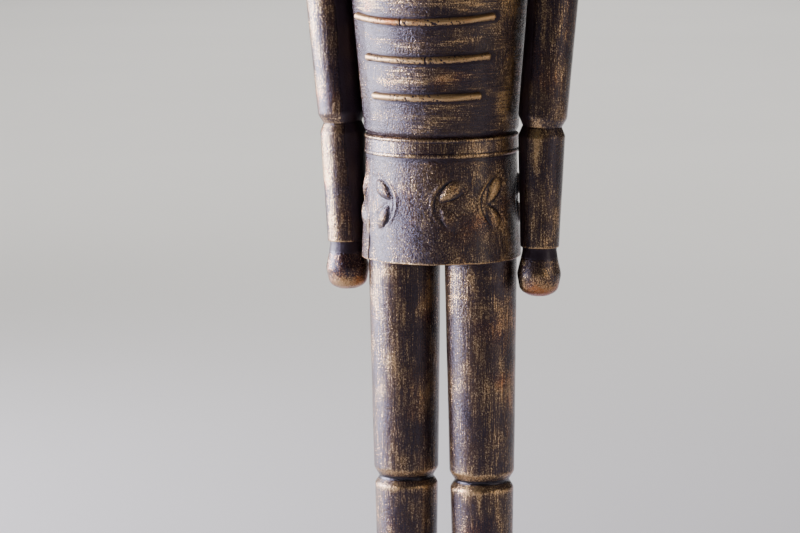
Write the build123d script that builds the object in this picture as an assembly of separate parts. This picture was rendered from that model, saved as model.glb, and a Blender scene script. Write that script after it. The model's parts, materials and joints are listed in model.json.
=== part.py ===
"""Turned wooden nutcracker figure with a lever-worked jaw and arms that swing at the shoulder.

The figure stands on its base with +Z up and faces -Y; its own left side is +X.
The origin is the centre of the base's underside. All sizes are millimetres.
"""

from build123d import *
from math import atan2, cos, degrees, radians, sin, tan
import os

# Fits
GLUE_GAP = 0.02  # radial play of dowels, screws and pins that are fixed
RUNNING_GAP = 0.05  # radial play of a part that turns on a pin
JAW_SIDE_GAP = 0.6
LEVER_GAP = 0.8

# Base
PLINTH_WIDTH = 116.0
PLINTH_DEPTH = 104.0
STEP_WIDTH = 102.0
STEP_DEPTH = 90.0
FELT_TOP = 1.2
PLINTH_TOP = 12.5
BASE_TOP = 20.0
SCREW_RADIUS = 2.0
SCREW_TOP = 46.0

# Legs
LEG_X = 18.8
LEG_TOP = 217.0
LEG_RADIUS_TOP = 16.5
LEG_RADIUS_KNEE = 15.3
BOOT_RADIUS = 15.0
BOOT_GROOVE = 105.5
ANKLE_RADIUS = 13.8
SOLE_RADIUS = 16.0
TOE_RADIUS = 12.5
TOE_REACH = 27.0
TOE_HEIGHT = 16.0

# Torso, belt and skirt
CORE_RADIUS = 33.4
HEM_Z = 211.0
HEM_RADIUS = 37.0
HEM_INNER = 35.6
SKIRT_TOP_RADIUS = 35.2
BELT_BOTTOM = 260.4
BELT_TOP = 269.2
BELT_RADIUS = 35.7
BELT_RIM = 0.45
WAIST_RADIUS = 36.4
WAIST_Z = 275.0
CHEST_RADIUS = 44.0
CHEST_Z = 364.0
TORSO_TOP = 369.0

# Skirt relief: the overlapping sheet and the leaf scrolls. Angles run from the front (-Y) to +X.
OVERLAP_START = -50.0
OVERLAP_END = -150.0
OVERLAP_RISE = 0.5
SCROLL_ANGLES = (-139, -101, -63, -27, 21, 57, 101, 139)
SCROLL_RISE = 0.9
SCROLL_Z = 237.0
LOBE_LENGTH = 12.5
LOBE_WIDTH = 5.6

# Chest braids: height at the front, first angle, last angle, sag at the front
BRAIDS = (
    (341.0, -54.0, 57.0, 2.6),
    (323.0, -52.0, 55.5, 2.2),
    (305.5, -41.5, 53.0, 1.5),
    (288.3, -37.5, 47.0, 0.7),
)
BRAID_RADIUS = 1.9

# Arms: the centre line's points in the XZ plane, and the radii along it
SHOULDER = (56.6, 356.0)
ELBOW = (48.9, 273.4)
CUFF = (47.6, 216.9)
SHOULDER_RADIUS = 11.8
ELBOW_RADIUS = 10.9
GROOVE_RADIUS = 9.6
CUFF_RADIUS = 9.0
HAND_NECK_RADIUS = 8.2
HAND_RADIUS = 10.1
HAND_LENGTH = 22.9
DOWEL_RADIUS = 3.0
SHOULDER_PIN_INNER = 18.0
SHOULDER_PIN_OUTER = 64.0

# Head and jaw
COLLAR_TOP = 377.0
COLLAR_RADIUS = 33.0
HEAD_RADIUS = 29.0
HEAD_TOP = 437.0
JAW_PIVOT_Z = 387.0
JAW_PIN_RADIUS = 2.5
JAW_PIN_HALF = 27.4
JAW_HALF_WIDTH = 12.6
JAW_FRONT = -29.6
JAW_REAR = 9.0
JAW_TOP = 397.0
JAW_BOTTOM = 368.0
SLOT_FLOOR = 348.0
SLOT_REAR = 18.0
MOUTH_ROOF = 407.5
BITE_Z = 402.2
TEETH_HALF_WIDTH = 10.8
TEETH_DEPTH = 4.0
LEVER_HALF_WIDTH = 9.0
LEVER_THICKNESS = 7.0
LEVER_END = 283.0
LEVER_SLOT_TOP = 396.0
BACK_GROOVE = 3.0

# Hat and shoulders
HAT_RADIUS = 30.0
HAT_TOP_RADIUS = 33.0
HAT_TOP = 493.0
HAT_BAND_TOP = 443.5
FINIAL_TOP = 513.0
BADGE_Z = 466.0
BADGE_RADIUS = 8.5
EPAULETTE_TOP = 373.0
EPAULETTE_RADIUS = 13.0
FRINGE_OUTER = 15.8
FRINGE_BOTTOM = 361.0
FRINGE_ANGLE = 35.0


# ---------------------------------------------------------------- shared shapes

def turned(outline, rounding):
    """Solid turned about Z. The outline lists (radius, height); rounding lists its inner corners."""
    profile = FilletPolyline(*[(r, 0, z) for r, z in outline], radius=rounding)
    (r_first, z_first), (r_last, z_last) = outline[0], outline[-1]
    closing = Polyline((r_last, 0, z_last), (0, 0, z_last), (0, 0, z_first), (r_first, 0, z_first))
    return revolve(make_face(profile.edges() + closing.edges()), Axis.Z)


def ring(outer, inner, bottom, top):
    """Plain ring about Z between two heights."""
    blank = Cylinder(outer, top - bottom) - Cylinder(inner, top - bottom + 2)
    return Pos(0, 0, (top + bottom) / 2) * blank


def side_prism(outline, half_width):
    """Prism along X from an outline of (y, z) points."""
    face = make_face(Polyline(*[(0, y, z) for y, z in outline], close=True).edges())
    return extrude(face, half_width, dir=(1, 0, 0), both=True)


def slab(x_half, y_from, y_to, z_from, z_to):
    """Block that is symmetric in X."""
    block = Box(2 * x_half, y_to - y_from, z_to - z_from)
    return Pos(0, (y_from + y_to) / 2, (z_from + z_to) / 2) * block


def rod(radius, x_from, x_to, y, z):
    """Round bar along X."""
    return Pos((x_from + x_to) / 2, y, z) * Rot(0, 90, 0) * Cylinder(radius, x_to - x_from)


def peg(radius, x, y, z_from, z_to):
    """Upright round bar."""
    return Pos(x, y, (z_from + z_to) / 2) * Cylinder(radius, z_to - z_from)


def sector(radius, start, end, bottom, top):
    """Wedge of a cylinder between two angles, measured from the front (-Y) towards +X."""
    section = Plane.XZ * Pos(radius / 2, (bottom + top) / 2) * Rectangle(radius, top - bottom)
    return Rot(0, 0, start - 90) * revolve(section, Axis.Z, end - start)


def both_sides(shape):
    """The shape and its mirror image in the YZ plane."""
    return Compound([shape, mirror(shape, Plane.YZ)])


def on_face(sketch, thickness):
    """Trim of even thickness laid on the round front of the head, from an outline in (x, z)."""
    block = extrude(Plane.XZ * sketch, HEAD_RADIUS + 20)
    return block & ring(HEAD_RADIUS + thickness, HEAD_RADIUS, MOUTH_ROOF - 20, HEAD_TOP)


# ---------------------------------------------------------------- base and legs

def base_tier(width, depth, bottom, top, corner, edge):
    """Rectangular tier with rounded upright corners and a rounded top edge."""
    tier = extrude(RectangleRounded(width, depth, corner), top - bottom)
    tier = fillet(tier.faces().sort_by(Axis.Z)[-1].edges(), edge)
    return Pos(0, 0, bottom) * tier


def screw_holes(bottom, top):
    return both_sides(peg(SCREW_RADIUS + GLUE_GAP, LEG_X, 0, bottom, top))


def felt_pad():
    return extrude(RectangleRounded(PLINTH_WIDTH - 3, PLINTH_DEPTH - 3, 7), FELT_TOP)


def base_plinth():
    tier = base_tier(PLINTH_WIDTH, PLINTH_DEPTH, FELT_TOP, PLINTH_TOP, 8, 3)
    head_seats = both_sides(countersink(GLUE_GAP))
    return tier - screw_holes(FELT_TOP - 1, PLINTH_TOP + 1) - head_seats


def base_step():
    tier = base_tier(STEP_WIDTH, STEP_DEPTH, PLINTH_TOP, BASE_TOP, 6, 2.5)
    return tier - screw_holes(PLINTH_TOP - 1, BASE_TOP + 1)


def countersink(gap):
    """Conical head of a wood screw, with an even gap round it."""
    return Pos(LEG_X, 0, FELT_TOP + 1.2) * Cone(4.2 + gap, SCREW_RADIUS + gap, 2.4)


def base_screws():
    return both_sides(peg(SCREW_RADIUS, LEG_X, 0, FELT_TOP + 2.4, SCREW_TOP) + countersink(0))


def leg_blank():
    """Turned leg on the Z axis: sole, ankle, boot, boot-top groove and trouser."""
    groove = BOOT_GROOVE
    outline = (
        (SOLE_RADIUS, BASE_TOP),
        (SOLE_RADIUS, BASE_TOP + 5),
        (ANKLE_RADIUS, BASE_TOP + 9),
        (ANKLE_RADIUS, BASE_TOP + 26),
        (BOOT_RADIUS - 0.4, BASE_TOP + 62),
        (BOOT_RADIUS, groove - 2.6),
        (BOOT_RADIUS - 1.7, groove),
        (LEG_RADIUS_KNEE, groove + 2.8),
        (LEG_RADIUS_TOP, LEG_TOP - 10),
        (LEG_RADIUS_TOP, LEG_TOP),
    )
    return turned(outline, (1.5, 2, 12, 60, 2.2, 0.5, 2.4, 40))


def leg_left():
    leg = Pos(LEG_X, 0, 0) * leg_blank()
    screw_hole = peg(SCREW_RADIUS + GLUE_GAP, LEG_X, 0, BASE_TOP - 1, SCREW_TOP + 0.5)
    dowel_hole = peg(4 + GLUE_GAP, LEG_X, 0, LEG_TOP - 14.5, LEG_TOP + 1)
    return leg - screw_hole - dowel_hole


def boot_toe_left():
    """Toe of the boot, hollowed to fit round the leg."""
    rear, front = Circle(13.0), Pos(0, -TOE_REACH) * Circle(TOE_RADIUS)
    plan = make_hull(rear.edges() + front.edges())
    toe = extrude(plan, TOE_HEIGHT)
    toe = fillet(toe.faces().sort_by(Axis.Z)[-1].edges(), 6)
    toe = Pos(LEG_X, 0, BASE_TOP) * toe - Pos(LEG_X, 0, 0) * leg_blank()
    return toe.solids().sort_by(Axis.Y)[0]


def hip_dowels():
    return both_sides(peg(4, LEG_X, 0, LEG_TOP - 14, LEG_TOP + 16))


# ---------------------------------------------------------------- torso, belt and skirt

def torso_radius(z):
    """Radius of the torso's tapered wall at a height."""
    share = (z - WAIST_Z) / (CHEST_Z - WAIST_Z)
    return WAIST_RADIUS + share * (CHEST_RADIUS - WAIST_RADIUS)


def torso_blank():
    """Turned torso: plain core inside the skirt, rounded waist, tapered chest, flat shoulders."""
    outline = (
        (CORE_RADIUS, LEG_TOP),
        (CORE_RADIUS, BELT_TOP),
        (CORE_RADIUS + 0.8, BELT_TOP),
        (WAIST_RADIUS - 0.3, WAIST_Z - 3.5),
        (torso_radius(WAIST_Z + 2), WAIST_Z + 2),
        (CHEST_RADIUS + 0.2, TORSO_TOP),
        (24, TORSO_TOP),
    )
    return turned(outline, (0, 0, 2.2, 12, 5))


def body_slots(floor, roof, rear_roof):
    """Space for the jaw at the front and for its lever at the back."""
    half = JAW_HALF_WIDTH + JAW_SIDE_GAP
    front = slab(half, -60, SLOT_REAR, floor, roof)
    rear = slab(LEVER_HALF_WIDTH + LEVER_GAP, 0, 60, floor, rear_roof)
    return front + rear


def back_groove():
    """Shallow groove down the torso's back, which the lever lies in."""
    top, bottom = TORSO_TOP + 1, LEVER_END - 4
    floor_top = torso_radius(top) - BACK_GROOVE
    floor_bottom = torso_radius(bottom) - BACK_GROOVE
    outline = ((floor_top, top), (60, top), (60, bottom), (floor_bottom, bottom))
    return side_prism(outline, LEVER_HALF_WIDTH + LEVER_GAP)


def neck_dowel_places():
    return [(x, y) for x in (-20.5, 20.5) for y in (-9, 11)]


def torso():
    body = torso_blank() - body_slots(SLOT_FLOOR, TORSO_TOP + 1, TORSO_TOP + 1) - back_groove()
    for side in (-1, 1):
        ends = sorted((side * (SHOULDER_PIN_INNER - 0.5), side * 60))
        body -= rod(DOWEL_RADIUS + GLUE_GAP, *ends, 0, SHOULDER[1])
        body -= peg(4 + GLUE_GAP, side * LEG_X, 0, LEG_TOP - 1, LEG_TOP + 16.5)
    for x, y in neck_dowel_places():
        body -= peg(2.5 + GLUE_GAP, x, y, TORSO_TOP - 8.5, TORSO_TOP + 1)
    return body


def belt():
    """Flat band with a slightly raised rim along each edge."""
    rims = ring(BELT_RADIUS + BELT_RIM, CORE_RADIUS + GLUE_GAP, BELT_BOTTOM, BELT_BOTTOM + 1.3)
    rims += ring(BELT_RADIUS + BELT_RIM, CORE_RADIUS + GLUE_GAP, BELT_TOP - 1.3, BELT_TOP)
    return rims + ring(BELT_RADIUS, CORE_RADIUS + GLUE_GAP, BELT_BOTTOM, BELT_TOP)


def skirt_radius(z):
    share = (z - HEM_Z) / (BELT_BOTTOM - HEM_Z)
    return HEM_RADIUS + share * (SKIRT_TOP_RADIUS - HEM_RADIUS)


def skirt_cone(rise):
    """Cone of the skirt's outside, raised by an even amount."""
    height = BELT_BOTTOM - HEM_Z
    return Pos(0, 0, HEM_Z + height / 2) * Cone(HEM_RADIUS + rise, SKIRT_TOP_RADIUS + rise, height)


def leaf_scroll(angle):
    """Two leaf lobes that stand up from the skirt, one above the other, leaning on one stem."""
    lean = -24 if angle > 0 else 24
    side = 1 if angle > 0 else -1
    upper = Pos(side * 1.2, 5.6) * Rot(0, 0, lean) * Ellipse(LOBE_WIDTH / 2, LOBE_LENGTH / 2)
    lower = Pos(side * 1.4, -6.2) * Rot(0, 0, -lean) * Ellipse(LOBE_WIDTH / 2, LOBE_LENGTH / 2)
    block = extrude(Plane.XZ * (upper + lower), HEM_RADIUS + 5)
    block = Pos(0, 0, SCROLL_Z) * Rot(0, 0, angle) * (block - slab(60, -HEM_INNER + 3, 60, -30, 30))
    return block & skirt_cone(SCROLL_RISE)


def coat_skirt():
    """Stiff wrapped band with an overlap at one side and leaf scrolls all round."""
    skirt = skirt_cone(0)
    skirt += skirt_cone(OVERLAP_RISE) & sector(60, OVERLAP_END, OVERLAP_START, HEM_Z, BELT_BOTTOM)
    for angle in SCROLL_ANGLES:
        skirt += leaf_scroll(angle)
    skirt -= peg(CORE_RADIUS + GLUE_GAP, 0, 0, LEG_TOP - 0.5, BELT_BOTTOM + 1)
    return skirt - peg(HEM_INNER, 0, 0, HEM_Z - 1, LEG_TOP)


def chest_braid(height, start, end, sag):
    """Half-round braid on the chest, with round ends, lower at the front than at its ends."""
    lie = torso_radius(height) + 0.2
    widest = max(abs(start), abs(end))
    tilt = degrees(atan2(sag, lie * (1 - cos(radians(widest)))))
    section = Plane.XZ * (Pos(lie, 0) * Circle(BRAID_RADIUS))
    cord = Rot(0, 0, start - 90) * revolve(section, Axis.Z, end - start)
    for angle in (start, end):
        x, y = lie * sin(radians(angle)), -lie * cos(radians(angle))
        cord += Pos(x, y, 0) * Sphere(BRAID_RADIUS)
    rise = lie * tan(radians(tilt))
    return Pos(0, 0, height + rise) * Rot(tilt, 0, 0) * cord - torso_blank()


# ---------------------------------------------------------------- arms

def arm_frame(start, end):
    """Frame at the start of an arm's stretch, with its Z axis along the stretch, downwards."""
    (x1, z1), (x2, z2) = start, end
    return Plane(origin=(x1, 0, z1), x_dir=(0, 1, 0), z_dir=(x2 - x1, 0, z2 - z1))


def span(start, end):
    return ((end[0] - start[0]) ** 2 + (end[1] - start[1]) ** 2) ** 0.5


def elbow_cut(side):
    """Half space beyond the elbow's joint plane, which halves the bend: side 1 is above it."""
    lean = degrees(atan2(SHOULDER[0] - ELBOW[0], SHOULDER[1] - ELBOW[1]))
    lean += degrees(atan2(ELBOW[0] - CUFF[0], ELBOW[1] - CUFF[1]))
    block = Pos(0, 0, side * 20) * Box(60, 60, 40)
    return Pos(ELBOW[0], 0, ELBOW[1]) * Rot(0, lean / 2, 0) * block


def elbow_dowel_left():
    lean = degrees(atan2(ELBOW[0] - CUFF[0], ELBOW[1] - CUFF[1]))
    return Pos(ELBOW[0], 0, ELBOW[1]) * Rot(0, lean, 0) * Cylinder(DOWEL_RADIUS, 18)


def elbow_dowel_hole():
    lean = degrees(atan2(ELBOW[0] - CUFF[0], ELBOW[1] - CUFF[1]))
    return Pos(ELBOW[0], 0, ELBOW[1]) * Rot(0, lean, 0) * Cylinder(DOWEL_RADIUS + GLUE_GAP, 19)


def upper_arm_left():
    """Upper arm: a ball-shaped shoulder, a long taper and half of the elbow's groove."""
    length = span(SHOULDER, ELBOW)
    outline = (
        (SHOULDER_RADIUS, 0),
        (ELBOW_RADIUS + 0.4, length - 3),
        (GROOVE_RADIUS, length),
        (GROOVE_RADIUS, length + 2),
    )
    arm = turned(outline, (2.2, 0)) + Sphere(SHOULDER_RADIUS)
    arm = arm_frame(SHOULDER, ELBOW).location * arm
    pin_hole = rod(DOWEL_RADIUS + RUNNING_GAP, 40, SHOULDER_PIN_OUTER + 0.4, 0, SHOULDER[1])
    return arm - elbow_cut(-1) - pin_hole - elbow_dowel_hole()


def forearm_left():
    """Forearm: the other half of the groove, a taper, and a square end at the cuff."""
    length = span(ELBOW, CUFF)
    outline = (
        (GROOVE_RADIUS, -2),
        (GROOVE_RADIUS, 0),
        (ELBOW_RADIUS, 3),
        (CUFF_RADIUS, length),
    )
    arm = arm_frame(ELBOW, CUFF).location * turned(outline, (0, 2.4))
    wrist_hole = arm_frame(ELBOW, CUFF).location * peg(DOWEL_RADIUS + GLUE_GAP, 0, 0, length - 8.5, 60)
    return arm - elbow_cut(1) - elbow_dowel_hole() - wrist_hole


def hand_left():
    """Mitten hand: short neck, round body and a flattened underside."""
    outline = (
        (HAND_NECK_RADIUS, 0),
        (HAND_NECK_RADIUS - 0.1, 1.5),
        (HAND_RADIUS + 0.25, 12.5),
        (HAND_RADIUS - 1.6, HAND_LENGTH - 1.2),
        (0.5, HAND_LENGTH),
    )
    hand = turned(outline, (0.6, 7, 6.5))
    hand -= peg(DOWEL_RADIUS + GLUE_GAP, 0, 0, -1, 8.5)
    length = span(ELBOW, CUFF)
    return arm_frame(ELBOW, CUFF).location * Pos(0, 0, length) * hand


def wrist_dowel_left():
    length = span(ELBOW, CUFF)
    return arm_frame(ELBOW, CUFF).location * peg(DOWEL_RADIUS, 0, 0, length - 8, length + 8)


def shoulder_pin_left():
    return rod(DOWEL_RADIUS, SHOULDER_PIN_INNER, SHOULDER_PIN_OUTER, 0, SHOULDER[1])


def epaulette_left():
    """Shoulder board: a tongue glued on the shoulder and a round end over the arm."""
    plan = Pos(SHOULDER[0], 0) * Circle(EPAULETTE_RADIUS)
    plan += Pos((SHOULDER[0] + 36) / 2, 0) * Rectangle(SHOULDER[0] - 36, 15)
    board = extrude(plan, EPAULETTE_TOP - TORSO_TOP)
    board = fillet(board.faces().sort_by(Axis.Z)[-1].edges(), 1.5)
    return Pos(0, 0, TORSO_TOP) * board


def epaulette_fringe_left():
    """Hanging fringe round the outer end of the board."""
    height = EPAULETTE_TOP - 1.6 - FRINGE_BOTTOM
    band = ring(FRINGE_OUTER, EPAULETTE_RADIUS + GLUE_GAP, 0, height)
    band &= sector(40, 90 - FRINGE_ANGLE, 90 + FRINGE_ANGLE, 0, height)
    return Pos(SHOULDER[0], 0, FRINGE_BOTTOM) * band


# ---------------------------------------------------------------- head

def collar_left():
    """Left half of the standing collar; the jaw and its lever pass between the halves."""
    band = ring(COLLAR_RADIUS, 10, TORSO_TOP, COLLAR_TOP)
    band = fillet(band.edges().group_by(Axis.Z)[-1].sort_by(SortBy.RADIUS)[-1:], 2)
    band -= body_slots(TORSO_TOP - 1, COLLAR_TOP + 1, COLLAR_TOP + 1)
    band &= Pos(50, 0, COLLAR_TOP) * Box(100, 100, 40)
    for x, y in neck_dowel_places():
        band -= peg(2.5 + GLUE_GAP, x, y, TORSO_TOP - 1, COLLAR_TOP + 1)
    return band


def neck_dowels():
    dowels = [peg(2.5, x, y, TORSO_TOP - 8, COLLAR_TOP + 7) for x, y in neck_dowel_places()]
    return Compound(dowels)


def head():
    """Head block with the mouth slot, the lever slot and the holes for pins and dowels."""
    block = peg(HEAD_RADIUS, 0, 0, COLLAR_TOP, HEAD_TOP)
    block -= body_slots(COLLAR_TOP - 1, MOUTH_ROOF, LEVER_SLOT_TOP)
    block -= rod(JAW_PIN_RADIUS + GLUE_GAP, -40, 40, 0, JAW_PIVOT_Z)
    for x, y in neck_dowel_places():
        block -= peg(2.5 + GLUE_GAP, x, y, COLLAR_TOP - 1, COLLAR_TOP + 7.5)
    return block - peg(4 + GLUE_GAP, 0, 0, HEAD_TOP - 10.5, HEAD_TOP + 1)


def nose():
    outline = ((-26, 425), (-30, 424), (-37.5, 415.5), (-37, 412), (-26, 411))
    wedge = side_prism(outline, 3.6)
    edges = wedge.edges().filter_by(lambda e: abs((e % 0.5).X) < 0.5 and e.center().Y < -28)
    return fillet(edges, 1.8) - peg(HEAD_RADIUS, 0, 0, COLLAR_TOP, HEAD_TOP)


def moustache():
    """Swept moustache that turns up at its ends."""
    half = make_face(
        (
            Spline((0, 409.6), (7, 410.2), (13.5, 408.6), (18.5, 414.5))
            + Spline((18.5, 414.5), (17.5, 405.5), (8, 404.6), (0, 406.2))
            + Line((0, 406.2), (0, 409.6))
        ).edges()
    )
    whole = half + mirror(half, Plane.YZ)
    return on_face(whole, 4.2)


def eyebrows():
    brow = Pos(10.5, 430.2) * Rot(0, 0, -10) * SlotOverall(11.5, 2.8)
    return both_sides(on_face(brow, 2.0))


def eyes():
    x = 9.6
    depth = (HEAD_RADIUS**2 - x**2) ** 0.5 - 1.2
    ball = Pos(x, -depth, 424) * Sphere(3.1)
    return both_sides(ball - peg(HEAD_RADIUS, 0, 0, COLLAR_TOP, HEAD_TOP))


def hair():
    """Hair round the sides and back, open at the back's middle for the lever."""
    cap = ring(HEAD_RADIUS + 3.8, HEAD_RADIUS + GLUE_GAP, COLLAR_TOP + 3, HEAD_TOP - 0.2)
    cap = fillet(cap.edges().filter_by(GeomType.CIRCLE).sort_by(SortBy.RADIUS)[-2:], 2)
    cap -= sector(60, -62, 62, COLLAR_TOP, HEAD_TOP)
    return cap - slab(LEVER_HALF_WIDTH + LEVER_GAP, 0, 60, COLLAR_TOP, LEVER_SLOT_TOP + 1)


def upper_teeth():
    row = slab(TEETH_HALF_WIDTH, JAW_FRONT + 1, JAW_FRONT + 1 + TEETH_DEPTH, BITE_Z + 0.3, MOUTH_ROOF)
    return row & peg(HEAD_RADIUS - 0.3, 0, 0, COLLAR_TOP, HEAD_TOP)


def jaw_pin():
    return rod(JAW_PIN_RADIUS, -JAW_PIN_HALF, JAW_PIN_HALF, 0, JAW_PIVOT_Z)


# ---------------------------------------------------------------- jaw

def jaw_blank():
    """Jaw block with a rounded chin."""
    outline = (
        (JAW_FRONT, JAW_TOP),
        (JAW_FRONT, JAW_BOTTOM + 5),
        (JAW_FRONT + 5, JAW_BOTTOM),
        (JAW_REAR, JAW_BOTTOM + 1),
        (JAW_REAR, JAW_TOP - 5),
        (JAW_REAR - 6, JAW_TOP),
    )
    chin_round = peg(-JAW_FRONT, 0, 0, JAW_BOTTOM - 5, JAW_TOP + 5)
    return side_prism(outline, JAW_HALF_WIDTH) & chin_round


def lever_tenon(gap):
    return slab(5 + gap, -6 - gap, JAW_REAR + 1, 371.5 - gap, 379.5 + gap)


def jaw():
    block = jaw_blank() - lever_tenon(GLUE_GAP)
    return block - rod(JAW_PIN_RADIUS + RUNNING_GAP, -20, 20, 0, JAW_PIVOT_Z)


def lower_teeth():
    row = slab(TEETH_HALF_WIDTH, JAW_FRONT, JAW_FRONT + TEETH_DEPTH, JAW_TOP, BITE_Z)
    return row & peg(HEAD_RADIUS - 0.3, 0, 0, COLLAR_TOP, HEAD_TOP)


def jaw_lever():
    """Lever behind the jaw: out over the back, then down the groove to a finger end."""
    top = TORSO_TOP - 3
    inner_top = torso_radius(top) - BACK_GROOVE + LEVER_GAP
    inner_end = torso_radius(LEVER_END) - BACK_GROOVE + LEVER_GAP
    outline = (
        (JAW_REAR, 383),
        (30, 381.5),
        (inner_top + 4, 376),
        (inner_top + LEVER_THICKNESS, top),
        (inner_end + LEVER_THICKNESS, LEVER_END + 12),
        (inner_end + LEVER_THICKNESS + 3, LEVER_END + 2),
        (inner_end + LEVER_THICKNESS + 1, LEVER_END),
        (inner_end, LEVER_END),
        (inner_top, top),
        (inner_top - 5, 371),
        (JAW_REAR, 371),
    )
    bar = side_prism(outline, LEVER_HALF_WIDTH)
    return bar + (lever_tenon(0) & slab(20, -30, JAW_REAR, 360, 390))


def beard():
    """Short carved beard on the front of the jaw, broad at the lip and narrow at its tip."""
    outline = Polyline(
        (-11, JAW_TOP), (11, JAW_TOP), (11.5, 380), (6, 366.5), (0, 363.5), (-6, 366.5), (-11.5, 380), close=True
    )
    block = extrude(Plane.XZ * make_face(outline.edges()), 60)
    shell = peg(36.5, 0, 0, 360, JAW_TOP) - peg(-JAW_FRONT, 0, 0, 355, JAW_TOP + 5)
    return (block & shell).solids().sort_by(Axis.Y)[0]


# ---------------------------------------------------------------- hat

def hat_body():
    """Tall hat that widens to a slightly domed top."""
    outline = (
        (HAT_RADIUS, HEAD_TOP),
        (HAT_TOP_RADIUS, HAT_TOP - 7),
        (HAT_TOP_RADIUS, HAT_TOP - 2.5),
        (18, HAT_TOP),
    )
    body = turned(outline, (0, 2))
    body -= peg(4 + GLUE_GAP, 0, 0, HEAD_TOP - 1, HEAD_TOP + 10.5)
    return body - peg(2 + GLUE_GAP, 0, 0, HAT_TOP - 8.5, HAT_TOP + 1)


def hat_wall(z):
    share = (z - HEAD_TOP) / (HAT_TOP - 7 - HEAD_TOP)
    return min(HAT_RADIUS + share * (HAT_TOP_RADIUS - HAT_RADIUS), HAT_TOP_RADIUS)


def hat_ring(bottom, top, rise):
    """Band round the hat, seated on its wall."""
    band = ring(hat_wall(top) + rise, 20, bottom, top)
    outer = band.edges().filter_by(GeomType.CIRCLE).sort_by(SortBy.RADIUS)[-2:]
    return fillet(outer, 0.8) - hat_body()


def hat_visor():
    """Crescent peak at the front, tipped down."""
    plan = Pos(0, -16) * Circle(30) - Pos(0, 30) * Rectangle(100, 74)
    peak = Pos(0, -29, HEAD_TOP + 2) * Rot(14, 0, 0) * Pos(0, 29, 0) * extrude(plan, 2.4)
    return peak - peg(hat_wall(HAT_BAND_TOP) + 1.6, 0, 0, HEAD_TOP - 12, HEAD_TOP + 12)


def hat_badge():
    """Plain rosette of round petals."""
    petals = [
        Rot(0, 0, turn) * Pos(BADGE_RADIUS * 0.62, 0) * Circle(BADGE_RADIUS * 0.4)
        for turn in range(0, 360, 45)
    ]
    flower = Sketch() + [Circle(BADGE_RADIUS * 0.62), *petals]
    face = Plane.XZ * (Pos(0, BADGE_Z) * flower)
    badge = extrude(face, hat_wall(BADGE_Z) + 2.2) - slab(20, -25, 1, BADGE_Z - 20, BADGE_Z + 20)
    centre = Pos(0, -hat_wall(BADGE_Z) - 1.2, BADGE_Z) * Sphere(3)
    return badge + centre - hat_body()


def hat_finial():
    """Turned knob with a pointed top and a peg below."""
    outline = (
        (2, HAT_TOP - 8),
        (2, HAT_TOP),
        (6, HAT_TOP),
        (6, HAT_TOP + 2),
        (3.2, HAT_TOP + 4),
        (7.2, HAT_TOP + 9),
        (1.2, FINIAL_TOP),
    )
    return turned(outline, (0, 0, 0.6, 1, 4))


def hat_dowel():
    return peg(4, 0, 0, HEAD_TOP - 10, HEAD_TOP + 10)


# ---------------------------------------------------------------- writing

def mirrored_pairs():
    """Nodes that exist on both sides: the left one and its mirror image."""
    lefts = {
        "leg": leg_left(),
        "boot_toe": boot_toe_left(),
        "upper_arm": upper_arm_left(),
        "forearm": forearm_left(),
        "hand": hand_left(),
        "elbow_dowel": elbow_dowel_left(),
        "wrist_dowel": wrist_dowel_left(),
        "shoulder_pin": shoulder_pin_left(),
        "epaulette": epaulette_left(),
        "epaulette_fringe": epaulette_fringe_left(),
        "collar": collar_left(),
    }
    nodes = {f"{name}_left": shape for name, shape in lefts.items()}
    nodes.update({f"{name}_right": mirror(shape, Plane.YZ) for name, shape in lefts.items()})
    return nodes


def centre_nodes():
    parts = (
        felt_pad, base_plinth, base_step, base_screws, hip_dowels, torso, coat_skirt, belt,
        neck_dowels, head, nose, moustache, eyebrows, eyes, hair, upper_teeth, jaw_pin,
        jaw, lower_teeth, jaw_lever, beard,
        hat_body, hat_visor, hat_badge, hat_finial, hat_dowel,
    )
    nodes = {part.__name__: part() for part in parts}
    for number, braid in enumerate(BRAIDS, start=1):
        nodes[f"chest_braid_{number}"] = chest_braid(*braid)
    nodes["hat_band"] = hat_ring(HEAD_TOP, HAT_BAND_TOP, 1.2)
    nodes["hat_top_band"] = hat_ring(HAT_TOP - 8, HAT_TOP - 2.5, 1.2)
    return nodes


def main():
    os.makedirs("parts", exist_ok=True)
    for name, shape in {**centre_nodes(), **mirrored_pairs()}.items():
        export_step(shape, f"parts/{name}.step")


main()
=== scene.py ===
"""Visual model of the nutcracker figure: dense turned and carved meshes in an antique bronze paint.

Lengths in the piece functions are millimetres in the CAD frame's axes, and to_object() turns them
into metres. Angles round the figure run in degrees from the front (-Y) towards its left (+X).
"""

import math

import bpy
import numpy as np
from mathutils import Matrix, Vector, noise
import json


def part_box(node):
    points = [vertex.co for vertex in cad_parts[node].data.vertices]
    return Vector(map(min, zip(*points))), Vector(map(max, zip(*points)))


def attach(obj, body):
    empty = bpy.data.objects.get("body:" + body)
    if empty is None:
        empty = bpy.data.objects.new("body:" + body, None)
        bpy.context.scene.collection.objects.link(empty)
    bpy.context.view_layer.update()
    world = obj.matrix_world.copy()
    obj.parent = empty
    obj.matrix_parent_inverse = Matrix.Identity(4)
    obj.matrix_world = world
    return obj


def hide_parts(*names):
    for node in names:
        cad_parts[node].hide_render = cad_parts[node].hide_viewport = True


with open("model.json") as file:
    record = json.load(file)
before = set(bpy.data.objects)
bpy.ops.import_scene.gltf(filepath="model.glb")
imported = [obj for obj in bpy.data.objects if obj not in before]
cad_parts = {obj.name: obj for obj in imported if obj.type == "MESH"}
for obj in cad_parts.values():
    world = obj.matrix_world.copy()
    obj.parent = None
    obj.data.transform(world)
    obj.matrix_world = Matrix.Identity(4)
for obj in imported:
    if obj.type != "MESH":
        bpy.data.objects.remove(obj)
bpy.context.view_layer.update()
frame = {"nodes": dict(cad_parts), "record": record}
MM = 0.001
SLOT_OF = {row["node"]: row["material_slot"] for row in frame["record"]["subparts"]}
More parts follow.
